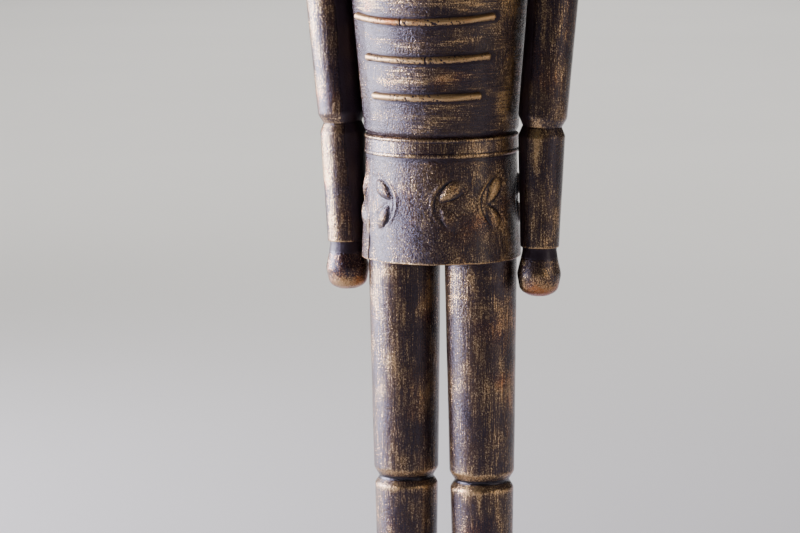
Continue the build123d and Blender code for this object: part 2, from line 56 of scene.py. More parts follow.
BODY_OF = {node: body for body, nodes in frame["record"]["behaviour"]["bodies"].items() for node in nodes}


# ---------------- mesh tools

def node_box(node):
    """Lowest and highest corner of a CAD node, in millimetres."""
    low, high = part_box(node)
    return low / MM, high / MM


def fillet_path(corners, step):
    """Evenly spaced points along (a, b, rounding) corners, as an array of (a, b)."""
    points = np.array([corner[:2] for corner in corners], float)
    path = [points[0]]
    for index in range(1, len(points) - 1):
        before, here, after = points[index - 1:index + 2]
        radius = corners[index][2]
        to_before = (before - here) / np.linalg.norm(before - here)
        to_after = (after - here) / np.linalg.norm(after - here)
        half = math.acos(np.clip(to_before @ to_after, -1, 1)) / 2
        if radius < 0.02 or half > 1.56:
            path.append(here)
            continue
        reach = radius / math.tan(half)
        reach = min(reach, 0.48 * min(np.linalg.norm(before - here), np.linalg.norm(after - here)))
        radius = reach * math.tan(half)
        inward = to_before + to_after
        centre = here + inward / np.linalg.norm(inward) * radius / math.sin(half)
        first, last = here + to_before * reach - centre, here + to_after * reach - centre
        turn = math.atan2(first[0] * last[1] - first[1] * last[0], first @ last)
        count = max(3, int(abs(turn) * radius / step * 2))
        for share in np.linspace(0, 1, count + 1):
            angle = turn * share
            spin = np.array([[math.cos(angle), -math.sin(angle)], [math.sin(angle), math.cos(angle)]])
            path.append(centre + spin @ first)
    path.append(points[-1])
    return spread(np.array(path), step)


def spread(path, step):
    """The path with extra points wherever two neighbours lie more than a step apart."""
    out = [path[0]]
    for start, end in zip(path[:-1], path[1:]):
        gap = np.linalg.norm(end - start)
        count = max(1, round(gap / step))
        if gap >= 1e-6:
            out += [start + (end - start) * number / count for number in range(1, count + 1)]
    return np.array(out)


def grid_faces(rows, columns):
    """Quads of a grid whose rows rise and whose columns run anticlockwise, seen from outside."""
    row = np.arange(rows - 1)[:, None]
    column = np.arange(columns)[None, :]
    after = (column + 1) % columns
    corners = (row * columns + column, row * columns + after, (row + 1) * columns + after,
               (row + 1) * columns + column)
    return np.stack(np.broadcast_arrays(*corners), -1).reshape(-1, 4)


def capped_faces(rows, columns, first=0):
    """Faces of a tube-like grid with flat ends; its vertices start at the given number."""
    faces = [list(face) for face in grid_faces(rows, columns)]
    faces.append(list(range(columns - 1, -1, -1)))
    faces.append(list(range((rows - 1) * columns, rows * columns)))
    return [[first + corner for corner in face] for face in faces]


def ring_faces(rows, columns):
    """Quads of a turned grid whose last row joins its first, as in a band or ring."""
    column = np.arange(columns)
    after = (column + 1) % columns
    last = (rows - 1) * columns
    return np.vstack([grid_faces(rows, columns), np.stack([last + column, last + after, after, column], -1)])


def lathe_grid(profile, columns):
    """Points of a profile of (radius, height) turned about Z, as rows by columns by 3."""
    angles = np.linspace(0, 2 * math.pi, columns, endpoint=False)
    radius, height = profile[:, 0][:, None], profile[:, 1][:, None]
    x, y = radius * np.cos(angles), radius * np.sin(angles)
    return np.stack([x, y, np.broadcast_to(height, x.shape)], -1)


def noise_at(points, size, seed=0.0):
    """Smooth noise between about -1 and 1 with features of the given size, in millimetres."""
    shift = Vector((seed * 3.7, seed * 1.9, seed * 5.3))
    return np.array([noise.noise(Vector(p) / size + shift) for p in points.reshape(-1, 3)])


def noise_along(a, b, c):
    """Smooth noise at the places (a, b, c), each an array or one number."""
    return np.array([noise.noise(Vector(p)) for p in zip(*np.broadcast_arrays(a, b, c))])


def from_axis(points):
    """Distance from the figure's upright middle axis."""
    return np.hypot(points[:, 0], points[:, 1])


def front_angle(points):
    """Angle round the figure in radians, from the front towards its left."""
    return np.arctan2(points[:, 0], -points[:, 1])


def ripple(away, pitch):
    """Even waves between 0 and 1 with the given pitch, 1 at nothing away."""
    return 0.5 + 0.5 * np.cos(2 * np.pi * away / pitch)


def smooth_step(value, low, high):
    """0 below low, 1 above high and an even slope between them."""
    share = np.clip((value - low) / (high - low), 0, 1)
    return share * share * (3 - 2 * share)


def bell(away, width):
    """1 at nothing away, falling off smoothly over the width on both sides."""
    return np.exp(-((away / width) ** 2))


def vertex_values(mesh, key):
    """Places ("co") or directions ("normal") of a mesh's vertices, as an array of rows."""
    values = np.empty(len(mesh.vertices) * 3)
    mesh.vertices.foreach_get(key, values)
    return values.reshape(-1, 3)


def curvature(mesh, passes):
    """How sharply the surface stands out (+) or dips in (-) at each vertex, per metre."""
    count, place, normal = len(mesh.vertices), vertex_values(mesh, "co"), vertex_values(mesh, "normal")
    ends = np.empty(len(mesh.edges) * 2, int)
    mesh.edges.foreach_get("vertices", ends)
    a, b = ends.reshape(-1, 2).T
    along = place[b] - place[a]
    bend = ((normal[b] - normal[a]) * along).sum(1) / np.maximum((along**2).sum(1), 1e-10)
    shared = np.maximum(np.bincount(a, minlength=count) + np.bincount(b, minlength=count), 1)
    value = (np.bincount(a, bend, count) + np.bincount(b, bend, count)) / shared
    for _ in range(passes):
        around = (np.bincount(a, value[b], count) + np.bincount(b, value[a], count)) / shared
        value = 0.5 * value + 0.5 * around
    return value


def in_scene(name, data):
    """New object with the given mesh, camera or light, linked into the scene."""
    item = bpy.data.objects.new(name, data)
    bpy.context.scene.collection.objects.link(item)
    return item


def applied(item):
    """Mesh of an object with its modifiers applied."""
    return bpy.data.meshes.new_from_object(item.evaluated_get(bpy.context.evaluated_depsgraph_get()))


def to_object(name, points, faces, look, node, paint=None, passes=3, sharp=50):
    """Piece from points in millimetres and faces, standing in for a CAD node."""
    mesh = bpy.data.meshes.new(name)
    mesh.from_pydata((np.asarray(points).reshape(-1, 3) * MM).tolist(), [], [list(f) for f in faces])
    mesh.validate()
    finish_mesh(name, mesh, look, node, paint, passes, sharp)


def finish_mesh(name, mesh, look, node, paint, passes, sharp):
    """Object with attributes for worn edges and for painted shade in hollows, both from the curvature, and,
    where a paint mask is given, for gold paint and painted shade, on the body of its CAD node.
    """
    body, slot = BODY_OF[node], SLOT_OF[node]
    mesh.update()
    mesh.polygons.foreach_set("use_smooth", [True] * len(mesh.polygons))
    mesh.set_sharp_from_angle(angle=math.radians(sharp))
    wear_and_shade = mesh.attributes.new("wear_and_shade", "FLOAT", "POINT")
    wear_and_shade.data.foreach_set("value", curvature(mesh, passes).astype(np.float32))
    if paint is not None:
        gild_and_shade = mesh.attributes.new("gild_and_shade", "FLOAT", "POINT")
        gild_and_shade.data.foreach_set("value", np.asarray(paint, np.float32).ravel())
    mesh.materials.append(look)
    item = in_scene(name, mesh)
    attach(item, body)
    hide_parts(node)


def turned(name, corners, look, node, centre=(0, 0), placing=None, step=0.6, roughness=0.06, seed=1.0,
           paint=None):
    """Turned piece from (radius, height, rounding) corners, closed at both ends."""
    profile = fillet_path(corners, step)
    columns = max(24, int(2 * math.pi * profile[:, 0].max() / step))
    flat = roughen(lathe_grid(profile, columns), roughness, seed).reshape(-1, 3)
    if placing is not None:
        flat = (np.array(placing.to_3x3()) @ flat.T).T + np.array(placing.translation)
    else:
        flat = flat + np.array([*centre, 0.0])
    mask = paint(flat) if paint else None
    to_object(name, flat, capped_faces(len(profile), columns), look, node, mask)


def roughen(grid, amount, seed):
    """Slight unevenness of hand-finished wood, moved away from and towards the turning axis."""
    flat = grid.reshape(-1, 3).copy()
    stretched = flat * np.array([1.0, 1.0, 0.35])
    lift = noise_at(stretched, 9.0, seed) * amount + noise_at(stretched, 2.6, seed + 7) * amount * 0.35
    radius = np.maximum(from_axis(flat), 1e-6)
    lift *= smooth_step(radius, 0.5, 3.0)
    flat[:, 0] += flat[:, 0] / radius * lift
    flat[:, 1] += flat[:, 1] / radius * lift
    return flat.reshape(grid.shape)


def resurfaced(name, node, look, voxel, smoothing=4, roughness=0.05, seed=1.0, carve=None, passes=4,
               gild_and_shade=None):
    """The CAD node's own shape as an even, finely divided mesh with soft painted edges."""
    item = in_scene(name + "_draft", frame["nodes"][node].data.copy())
    weld = item.modifiers.new("weld", "WELD")
    weld.merge_threshold = 0.01 * MM
    remesh = item.modifiers.new("even", "REMESH")
    remesh.mode = "VOXEL"
    remesh.voxel_size = voxel * MM
    smooth = item.modifiers.new("soft", "SMOOTH")
    smooth.iterations = smoothing
    smooth.factor = 0.5
    fine = applied(item)
    bpy.data.objects.remove(item)
    fine.materials.clear()
    place, normal = vertex_values(fine, "co") / MM, vertex_values(fine, "normal")
    lift = noise_at(place, 7.0, seed) * roughness + noise_at(place, 2.2, seed + 5) * roughness * 0.4
    if carve:
        lift = lift + carve(place)
    place = place + normal * lift[:, None]
    fine.vertices.foreach_set("co", (place * MM).ravel())
    fine.name = name
    mask = gild_and_shade(place) if gild_and_shade else None
    finish_mesh(name, fine, look, node, mask, passes, 60)


# ---------------- materials

class Look:
    """A material's node tree, with short calls for the nodes that it needs."""

    def __init__(self, name):
        self.material = bpy.data.materials.new(name)
        self.material.use_nodes = True
        self.tree = self.material.node_tree
        self.shader = self.tree.nodes["Principled BSDF"]
        self.place = self.add("ShaderNodeTexCoord").outputs["Object"]

    def add(self, kind, **values):
        node = self.tree.nodes.new(kind)
        for key, value in values.items():
            setattr(node, key, value)
        return node

    def put(self, socket, value):
        if isinstance(value, bpy.types.NodeSocket):
            self.tree.links.new(value, socket)
        else:
            socket.default_value = value

    def sum(self, operation, a, b):
        node = self.add("ShaderNodeMath", operation=operation)
        self.put(node.inputs[0], a)
        self.put(node.inputs[1], b)
        return node.outputs[0]

    def plus(self, a, b):
        return self.sum("ADD", a, b)

    def minus(self, a, b):
        return self.sum("SUBTRACT", a, b)

    def times(self, a, b):
        return self.sum("MULTIPLY", a, b)

    def larger(self, a, b):
        return self.sum("MAXIMUM", a, b)

    def stretched(self, scale, turn=(0.0, 0.0, 0.0), move=(0.0, 0.0, 0.0)):
        node = self.add("ShaderNodeMapping", vector_type="POINT")
        self.put(node.inputs["Vector"], self.place)
        node.inputs["Scale"].default_value = scale
        node.inputs["Rotation"].default_value = [math.radians(a) for a in turn]
        node.inputs["Location"].default_value = move
        return node.outputs[0]

    def noise(self, vector, scale, detail=2.0, rough=0.5, warp=0.0):
        node = self.add("ShaderNodeTexNoise")
        self.put(node.inputs["Vector"], vector)
        for key, value in (("Scale", scale), ("Detail", detail), ("Roughness", rough), ("Distortion", warp)):
            node.inputs[key].default_value = value
        return node.outputs["Fac"]

    def range(self, value, low, high, to_low=0.0, to_high=1.0, smooth=True):
        node = self.add("ShaderNodeMapRange", interpolation_type="SMOOTHSTEP" if smooth else "LINEAR")
        for key, item in (("Value", value), ("From Min", low), ("From Max", high), ("To Min", to_low),
                          ("To Max", to_high)):
            self.put(node.inputs[key], item)
        return node.outputs["Result"]

    def blend(self, share, a, b):
        node = self.add("ShaderNodeMix", data_type="RGBA")
        self.put(node.inputs["Factor"], share)
        self.put(node.inputs[6], (*a, 1.0) if isinstance(a, tuple) else a)
        self.put(node.inputs[7], (*b, 1.0) if isinstance(b, tuple) else b)
        return node.outputs[2]

    def attribute(self, name):
        return self.add("ShaderNodeAttribute", attribute_name=name).outputs["Fac"]

    def set(self, **values):
        for key, value in values.items():
            self.put(self.shader.inputs[key.replace("_", " ")], value)

    def bump(self, height, distance, strength, onto=None):
        node = self.add("ShaderNodeBump")
        node.inputs["Strength"].default_value = strength
        node.inputs["Distance"].default_value = distance
        self.put(node.inputs["Height"], height)
        if onto is not None:
            self.put(node.inputs["Normal"], onto)
        return node.outputs["Normal"]


DARK_PLUM = (0.0135, 0.0052, 0.0080)
DARK_UMBER = (0.021, 0.0085, 0.0055)
GOLD = (0.55, 0.350, 0.165)
PALE_GOLD = (0.86, 0.68, 0.43)
COPPER = (0.42, 0.155, 0.052)


def bronze(name, coverage=0.0, along="upright", warmth=0.25, polish=0.18, edge_gold=0.15, seed=0.0,
           patchy=0.28, pale=0.5, leathery=0.75, hollow_bare_and_shade=1.0):
    """Dark plum-brown satin paint with dry-brushed gold on top, gold edges, and hollows left bare of gold and
    darkened with painted shade.

    Coverage shifts how much gold there is, patchy how unevenly it lies, warmth how much of it is
    copper and pale how much is light. Along is the way the brush went. The last argument sets how
    bare of gold the hollows are and how strongly painted shade darkens them.
    """
    look = Look(name)
    move = (seed, seed * 0.7, seed * 1.3)
    stretch = {"upright": (1, 1, 0.035), "level": (0.05, 0.05, 1), "none": (1, 1, 0.5)}[along]
    plain = look.stretched((1, 1, 1), move=move)
    speckle = look.noise(look.stretched((1, 1, 0.7), move=move), 2100, 2.0, 0.8)
    stroke = look.noise(look.stretched(stretch, move=move), 1700, 3.0, 0.6, 0.1)
    slant_a = look.noise(look.stretched((1, 1, 0.08), turn=(24, 38, 0), move=move), 1700, 1.0, 0.5)
    slant_b = look.noise(look.stretched((1, 1, 0.08), turn=(-28, -34, 0), move=move), 1700, 1.0, 0.5)
    where = look.noise(plain, 45, 2.0, 0.5, 0.4)
    swath = look.noise(look.stretched(tuple(0.3 + 0.7 * v for v in stretch), move=move), 160, 1.0, 0.5, 0.3)

    slants = look.larger(slant_a, slant_b)
    slant_share = look.range(look.noise(plain, 60, 1.0, 0.5), 0.50, 0.66)
    strokes = look.plus(look.times(stroke, look.minus(1.0, slant_share)),
                       look.times(look.minus(slants, 0.08), slant_share))
    grain = look.plus(look.times(speckle, 0.55), look.times(strokes, 0.45))

    wear_and_shade = look.attribute("wear_and_shade")
    edge = look.range(wear_and_shade, 60, 800)
    crevice = look.range(look.times(wear_and_shade, -1.0), 70, 500)
    amount = look.times(look.minus(where, 0.5), patchy)
    amount = look.plus(amount, look.times(look.minus(swath, 0.5), patchy * 0.8))
    amount = look.plus(amount, look.times(edge, edge_gold))
    # Less gold in the hollows, where the dry brush does not reach.
    amount = look.minus(amount, look.times(crevice, 0.45 * hollow_bare_and_shade))
    # The paint mask adds gold where it is positive and takes gold away where it is negative, in places as
    # painted shade.
    amount = look.plus(amount, look.times(look.attribute("gild_and_shade"), 0.3))
    amount = look.plus(amount, look.minus(grain, 0.535 - coverage))
    film = look.range(amount, -0.18, 0.16)
    fleck = look.range(amount, 0.0, 0.11)
    gold_share = look.plus(look.times(film, 0.14), look.times(fleck, 0.80))

    tint = look.noise(plain, 38, 2.0, 0.5)
    gold = look.blend(look.range(tint, 0.62 - warmth * 0.5, 0.80 - warmth * 0.5), GOLD, COPPER)
    gold = look.blend(look.times(look.range(speckle, 0.5, 0.7), pale), gold, PALE_GOLD)
    dark = look.blend(look.range(where, 0.42, 0.6), DARK_PLUM, DARK_UMBER)
    # Painted shade: the hollows are blended towards near black, darker than the paint itself.
    dark = look.blend(look.range(crevice, 0.15, 0.8, 0.0, hollow_bare_and_shade), dark, (0.005, 0.0035, 0.003))
    look.set(Base_Color=look.blend(gold_share, dark, gold))

    look.set(Metallic=gold_share)
    gloss = look.noise(plain, 130, 3.0, 0.6)
    roughness = look.range(gloss, 0.3, 0.7, polish - 0.05, polish + 0.08, smooth=False)
    bare = look.range(look.times(look.attribute("gild_and_shade"), -1.0), 0.25, 0.9, 0.0, 0.35)
    roughness = look.plus(roughness, look.times(gold_share, 0.08))
    look.set(Roughness=look.plus(roughness, bare))
    look.set(Coat_Weight=0.16, Coat_Roughness=0.20, Specular_Tint=(0.80, 0.74, 1.0, 1.0))

    pebble = look.noise(plain, 1250, 2.0, 0.6)
    height = look.plus(look.times(grain, 0.5), look.times(pebble, leathery))
    ripple = look.bump(look.noise(look.stretched(stretch, move=move), 330, 2.0, 0.5), 0.0002, 0.35)
    look.set(Normal=look.bump(height, 0.00048, 0.8, ripple))
    return look.material


def bare_wood(name):
    """Unpainted dowel wood with long grain."""
    look = Look(name)
    grain = look.noise(look.stretched((1, 1, 0.05)), 700, 4.0, 0.6)
    look.set(Base_Color=look.blend(look.range(grain, 0.35, 0.65), (0.42, 0.27, 0.14), (0.60, 0.43, 0.26)))
    look.set(Roughness=look.range(grain, 0.3, 0.7, 0.5, 0.65), Normal=look.bump(grain, 0.0001, 0.5))
    return look.material


def steel(name):
    """Plain steel with fine drawn marks and a little tarnish."""
    look = Look(name)
    marks = look.noise(look.stretched((0.06, 1, 1)), 1400, 2.0, 0.6)
    tarnish = look.noise(look.place, 150, 3.0, 0.6)
    look.set(Base_Color=look.blend(look.range(tarnish, 0.45, 0.7), (0.52, 0.51, 0.49), (0.30, 0.26, 0.22)))
    look.set(Metallic=1.0, Roughness=look.range(marks, 0.3, 0.7, 0.26, 0.42),
             Normal=look.bump(marks, 0.00005, 0.4))
    return look.material


def felt(name):
    """Short matted felt."""
    look = Look(name)
    fuzz = look.noise(look.place, 2600, 4.0, 0.75)
    shade = look.range(fuzz, 0.35, 0.65)
    look.set(Base_Color=look.blend(shade, (0.022, 0.030, 0.024), (0.055, 0.068, 0.055)))
    look.set(Roughness=0.95, Sheen_Weight=0.4, Normal=look.bump(fuzz, 0.0004, 0.8))
    return look.material


def floor_look(name):
    """Matt pale floor with faint mottling."""
    look = Look(name)
    cloud = look.noise(look.place, 1.6, 4.0, 0.55)
    look.set(Base_Color=look.blend(cloud, (0.70, 0.685, 0.665), (0.75, 0.735, 0.715)))
    look.set(Roughness=0.9, Specular_IOR_Level=0.15)
    return look.material


LIMB = bronze("limb_bronze", coverage=0.0, along="upright", seed=0.11)
LEG_PAINT = bronze("leg_bronze", coverage=0.01, along="upright", seed=0.37, warmth=0.18)
CHEST = bronze("chest_bronze", coverage=-0.02, along="level", seed=0.53, warmth=0.1, leathery=1.5)
COAT = bronze("coat_bronze", coverage=-0.01, leathery=1.5, along="none", seed=0.71, warmth=0.28, hollow_bare_and_shade=0.65)
TRIM = bronze("trim_gold", coverage=0.20, along="none", seed=0.29, patchy=0.4, warmth=0.16, pale=0.45,
              polish=0.32)
BELT = bronze("belt_gold", coverage=0.03, along="upright", seed=0.83, warmth=0.18, pale=0.6, hollow_bare_and_shade=0.3,
              edge_gold=0.06)
HAND = bronze("hand_bronze", coverage=0.03, along="none", seed=0.97, warmth=0.3)
FACE = bronze("face_bronze", coverage=-0.005, along="none", seed=1.13, warmth=0.4)
HAIR = bronze("hair_bronze", coverage=-0.02, along="none", seed=1.37, edge_gold=0.45)
EYE_PAINT = bronze("eye_bronze", coverage=0.12, along="none", seed=1.51, pale=0.9)
BASE_PAINT = bronze("base_bronze", coverage=-0.01, along="none", seed=1.71, warmth=0.3)
WOOD = bare_wood("dowel_wood")
STEEL = steel("pin_steel")
FELT = felt("base_felt")

SIGN = {"left": 1, "right": -1}


# ---------------- legs and boots

BOOT_GROOVE = 105.5
SOLE_RADIUS, ANKLE_RADIUS, BOOT_RADIUS, KNEE_RADIUS = 16.0, 13.8, 15.0, 15.3
LEG_STROKES = {"left": 0.35, "right": 0.15}
LEG_SEEDS = {"left": 2, "right": 5}


def leg_gild(side):
    """Gold at the boot top and trouser end, none under the hem, and level strokes above the knee."""
    def mask(points):
        z, seed = points[:, 2], LEG_SEEDS[side]
        boot_top = bell(z - BOOT_GROOVE + 4.2, 1.4) * 0.30
        trouser_end = bell(z - BOOT_GROOVE - 3.4, 1.2) * 0.35
        under_hem = -0.5 * smooth_step(z, 205, 212)
        level = noise_at(points * np.array([0.1, 0.1, 1.0]), 1.5, seed + 3.0)
        brushed = LEG_STROKES[side] * np.clip(level, 0, 1)
        brushed *= smooth_step(z, 172, 196) * smooth_step(-z, -207, -202)
        return boot_top + trouser_end + under_hem + brushed + 0.12 * noise_at(points, 14, seed)
    return mask


def leg(side):
    """Trouser leg and boot in one turned piece."""
    low, high = node_box(f"leg_{side}")
    base, top, across = low.z, high.z, (low.x + high.x) / 2
    top_radius = (high.x - low.x) / 2
    corners = (
        (0.05, base, 0), (SOLE_RADIUS - 1, base, 0.5), (SOLE_RADIUS, base + 0.8, 0.6),
        (SOLE_RADIUS, base + 4.6, 1.2), (14.7, base + 6.6, 1.2), (ANKLE_RADIUS, base + 9, 3),
        (ANKLE_RADIUS, base + 26, 14), (14.6, base + 62, 60),
        (BOOT_RADIUS, BOOT_GROOVE - 3.6, 2.8), (BOOT_RADIUS - 1.9, BOOT_GROOVE - 0.8, 0.8),
        (BOOT_RADIUS - 2.1, BOOT_GROOVE, 0.4), (BOOT_RADIUS - 1.6, BOOT_GROOVE + 0.9, 0.6),
        (KNEE_RADIUS, BOOT_GROOVE + 4.0, 2.8), (top_radius - 0.2, top - 50, 90),
        (top_radius + 0.45, top - 8, 30), (top_radius + 0.45, top, 0.4), (0.05, top, 0),
    )
    turned(f"trouser_and_boot_{side}", corners, LEG_PAINT, f"leg_{side}",
                  centre=(across, 0), roughness=0.10, seed=float(LEG_SEEDS[side]), paint=leg_gild(side))


# ---------------- torso, belt and skirt

# Braids from the top: height in front, first and last angle, how far the ends hang down
BRAIDS = (
    (341.0, -54.0, 57.0, 2.6),
    (323.0, -52.0, 55.5, 2.2),
    (305.5, -41.5, 53.0, 1.5),
    (288.3, -37.5, 47.0, 0.7),
)
# Cracks through each braid: share of its length, width
CRACKS = (((0.71, 0.3),), ((0.408, 0.30),), ((0.52, 0.25),), ())
BRAID_HALF = 1.75
WAIST_INNER = 33.45
WAIST_RADIUS, WAIST_Z = 36.4, 275.0
CHEST_RADIUS, CHEST_Z = 44.0, 364.0


def torso_radius(z):
    share = (z - WAIST_Z) / (CHEST_Z - WAIST_Z)
    return WAIST_RADIUS + share * (CHEST_RADIUS - WAIST_RADIUS)


def braid_height(braid, angle):
    """Height of a braid's centre line at an angle round the figure."""
    height, start, end, sag = braid
    widest = math.radians(max(abs(start), abs(end)))
    return height + sag * (1 - np.cos(np.radians(angle))) / (1 - math.cos(widest))


def chest_mask(points):
    """Painted shade as dark lines beside the braids and along the torso's foot above the belt, and level gold
    strokes between the braids.
    """
    angle, z = np.degrees(front_angle(points)), points[:, 2]
    mask = np.zeros(len(points))
    ragged = noise_at(points, 1.6, 3.0) * 0.5
    for number, braid in enumerate(BRAIDS):
        _, start, end, _ = braid
        centre = braid_height(braid, np.clip(angle, start, end))
        past_end = np.maximum(np.maximum(start - angle, angle - end), 0) * 0.68
        away = np.hypot(np.abs(z - centre), past_end)
        # Painted shade along both edges of each braid, where it lies against the torso.
        mask -= 1.5 * smooth_step(-away, -(BRAID_HALF + 1.3 + ragged), -(BRAID_HALF + 0.2))
        streak = z - centre + 9.2 + 1.2 * np.sin(np.radians(angle * 3 + number * 70))
        inside = smooth_step(angle, start - 4, start + 16) * smooth_step(-angle, -end - 4, -end + 16)
        mask += (0.34 if number < 3 else 0.08) * bell(streak, 1.8) * inside
    side_brush = smooth_step(angle, 50, 66) * smooth_step(-angle, -100, -80)
    mask += 0.22 * side_brush + 0.16 * noise_at(points, 24, 9.0)
    # Painted shade along the torso's rounded foot, where it meets the belt.
    mask -= 0.5 * bell(z - 270.5, 1.2)
    return mask


def cut_away(mesh, boxes):
    """The mesh with blocks removed, each given by its (low corner, high corner) in millimetres."""
    body = in_scene("draft", mesh)
    cutters = []
    for number, (low, high) in enumerate(boxes):
        tool_mesh = bpy.data.meshes.new(f"cutter_{number}")
        corners = [(x, y, z) for z in (low[2], high[2]) for y in (low[1], high[1]) for x in (low[0], high[0])]
        sides = [(0, 2, 3, 1), (4, 5, 7, 6), (0, 1, 5, 4), (1, 3, 7, 5), (3, 2, 6, 7), (2, 0, 4, 6)]
        tool_mesh.from_pydata([Vector(c) * MM for c in corners], [], sides)
        tool = in_scene(f"cutter_{number}", tool_mesh)
        cutters.append(tool)
        cut = body.modifiers.new("cut", "BOOLEAN")
        cut.operation, cut.object, cut.solver = "DIFFERENCE", tool, "EXACT"
    bpy.context.view_layer.update()
    result = applied(body)
    for item in (body, *cutters):
        bpy.data.objects.remove(item)
    return result


SLOT_HALF, LEVER_SLOT_HALF = 13.2, 9.8
SLOT_FLOOR, SLOT_REAR = 348.0, 18.0


def torso():
    """Turned barrel with the jaw's slot in its top and front, and the lever's slot at the back."""
    low, high = node_box("torso")
    top = high.z
    corners = (
        (0.05, low.z, 0), (33.4, low.z, 0.4), (33.4, 269.2, 0), (34.3, 269.2, 0.3),
        (36.1, 271.6, 2.2), (torso_radius(279), 279.0, 14), (CHEST_RADIUS, 364.0, 2.5),
        (40.0, top, 3.2), (0.05, top, 0),
    )
    profile = fillet_path(corners, 0.62)
    grid = roughen(lathe_grid(profile, 430), 0.16, 4.0)
    cuts = (
        ((-SLOT_HALF, -60, SLOT_FLOOR), (SLOT_HALF, SLOT_REAR, top + 5)),
        ((-LEVER_SLOT_HALF, 0, SLOT_FLOOR), (LEVER_SLOT_HALF, 60, top + 5)),
    )
    block = bpy.data.meshes.new("torso_block")
    block.from_pydata((lever_groove(grid).reshape(-1, 3) * MM).tolist(), [], capped_faces(*grid.shape[:2]))
    mesh = cut_away(block, cuts)
    mask = chest_mask(vertex_values(mesh, "co") / MM)
    finish_mesh("torso_block", mesh, CHEST, "torso", mask, 3, 40)


GROOVE_BOTTOM = 279.0
GROOVE_DEPTH = 3.0


def lever_groove(grid):
    """Presses the shallow groove for the lever into the back of the torso's grid."""
    flat = grid.reshape(-1, 3).copy()
    across = smooth_step(-np.abs(flat[:, 0]), -LEVER_SLOT_HALF - 0.5, -LEVER_SLOT_HALF + 0.3)
    up = smooth_step(flat[:, 2], GROOVE_BOTTOM - 1.0, GROOVE_BOTTOM + 0.6)
    behind = (flat[:, 1] > 20) & (from_axis(flat) > 30)
    floor = torso_radius(flat[:, 2]) - GROOVE_DEPTH
    share = across * up * behind
    flat[:, 1] = np.where(flat[:, 1] > floor, flat[:, 1] + (floor - flat[:, 1]) * share, flat[:, 1])
    return flat.reshape(grid.shape)


def braid(number):
    """Half-round braid with round ends, uneven like clay rope, and cracked through in places."""
    path = BRAIDS[number]
    height, start, end, _ = path
    count = int((end - start) * 0.7 / 0.32)
    angles = np.linspace(start, end, count)
    lie = torso_radius(height)
    length = np.radians(angles - start) * lie
    total = length[-1]
    size = np.ones(count) + 0.05 * noise_along(length / 3.1, number * 9.0, 0)
    size += 0.12 * bell(total - length - 1.6, 1.5) + 0.12 * bell(length - 1.6, 1.5)
    cracked = np.zeros(count)
    for spot, width in CRACKS[number]:
        cracked += bell((length / total - spot) * total, width)
    size *= 1 - 0.22 * cracked
    from_end = np.minimum(length, total - length)
    size *= np.sqrt(np.clip(1 - (1 - np.clip(from_end / BRAID_HALF, 0, 1)) ** 2, 0.02, 1))
    wander = 0.16 * noise_along(length / 11.0, number * 5.0, 4.0)
    around = np.radians(np.linspace(-118, 118, 19))
    rows = []
    for index, angle in enumerate(angles):
        z = braid_height(path, angle) + wander[index]
        wall = torso_radius(z) + 0.1
        a = math.radians(angle)
        out = np.array([math.sin(a), -math.cos(a), 0.0])
        bulge = wall + np.maximum(BRAID_HALF * 1.12 * size[index] * np.cos(around), -0.8)
        lift = BRAID_HALF * size[index] * np.sin(around)
        rows.append(out * bulge[:, None] + np.array([0, 0, 1.0]) * (z + lift)[:, None])
    grid = np.array(rows)
    flat = grid.reshape(-1, 3)
    pits = smooth_step(noise_at(flat, 0.95, number + 20.0), 0.20, 0.50)
    pits *= smooth_step(noise_at(flat, 9.0, number + 31.0), -0.25, 0.35)
    # The pits are gaps in the gold where the dark paint shows; the underside and the cracks are darkened as
    # painted shade.
    underside_shade = smooth_step(-np.tile(np.sin(around), count), 0.35, 0.95)
    dark = -1.6 * pits - 0.8 * underside_shade - 2.0 * np.repeat(cracked, len(around))
    pits *= 0.26
    outward = flat.copy()
    outward[:, 2] = 0
    flat -= outward / np.linalg.norm(outward, axis=1)[:, None] * pits[:, None]
    faces = [face[::-1] for face in capped_faces(count, len(around))]
    name = f"chest_braid_{number + 1}"
    to_object(f"{name}_cord", flat, faces, TRIM, name, dark, 1, 70)


def belt():
    low, high = node_box("belt")
    outer, inner = (high.x - low.x) / 2, WAIST_INNER
    face = outer - 0.38
    corners = [
        (inner, low.z, 0), (outer - 0.5, low.z, 0.3), (outer, low.z + 0.6, 0.4), (outer, low.z + 1.3, 0.6),
        (face, low.z + 2.1, 0.9), (face, high.z - 1.6, 0.8), (outer - 0.15, high.z - 0.9, 0.4),
        (outer - 0.15, high.z - 0.35, 0.3), (outer - 0.5, high.z, 0.2), (inner, high.z, 0),
    ]
    profile = fillet_path(corners, 0.3)
    grid = roughen(lathe_grid(profile, 520), 0.05, 8.0)
    to_object("belt_band", grid, ring_faces(*grid.shape[:2]), BELT, "belt", passes=2)


# Leaf scrolls round the skirt: angle, side the lobes point to, lean of the upper lobe, strength below
SCROLLS = (
    (-139, -1, 55, 0.9), (-101, -1, 52, 1.0), (-68, 1, 56, 1.0), (-27.5, -1, 34, 1.0),
    (19.5, 1, 37, 0.5), (55.5, 1, 59, 0.9), (97, 1, 50, 1.0), (137, 1, 56, 0.9),
)
SCROLL_Z = 239.0
SEAM_ANGLE = -49.0


def lobe(u, v, centre, length, width, lean, rise):
    """Raised leaf lobe, broad at its far end, with a soft hollow round it."""
    a = math.radians(lean)
    along = (u - centre[0]) * math.cos(a) + (v - centre[1]) * math.sin(a)
    across = -(u - centre[0]) * math.sin(a) + (v - centre[1]) * math.cos(a)
    share = along / length
    breadth = width * (0.82 + 0.30 * np.clip(share, -1, 1))
    distance = np.sqrt(share**2 + (across / breadth) ** 2)
    dome = rise * np.clip(1 - distance**2, 0, 1) ** 0.85
    hollow = 0.24 * bell(distance - 1.18, 0.24)
    return dome, hollow


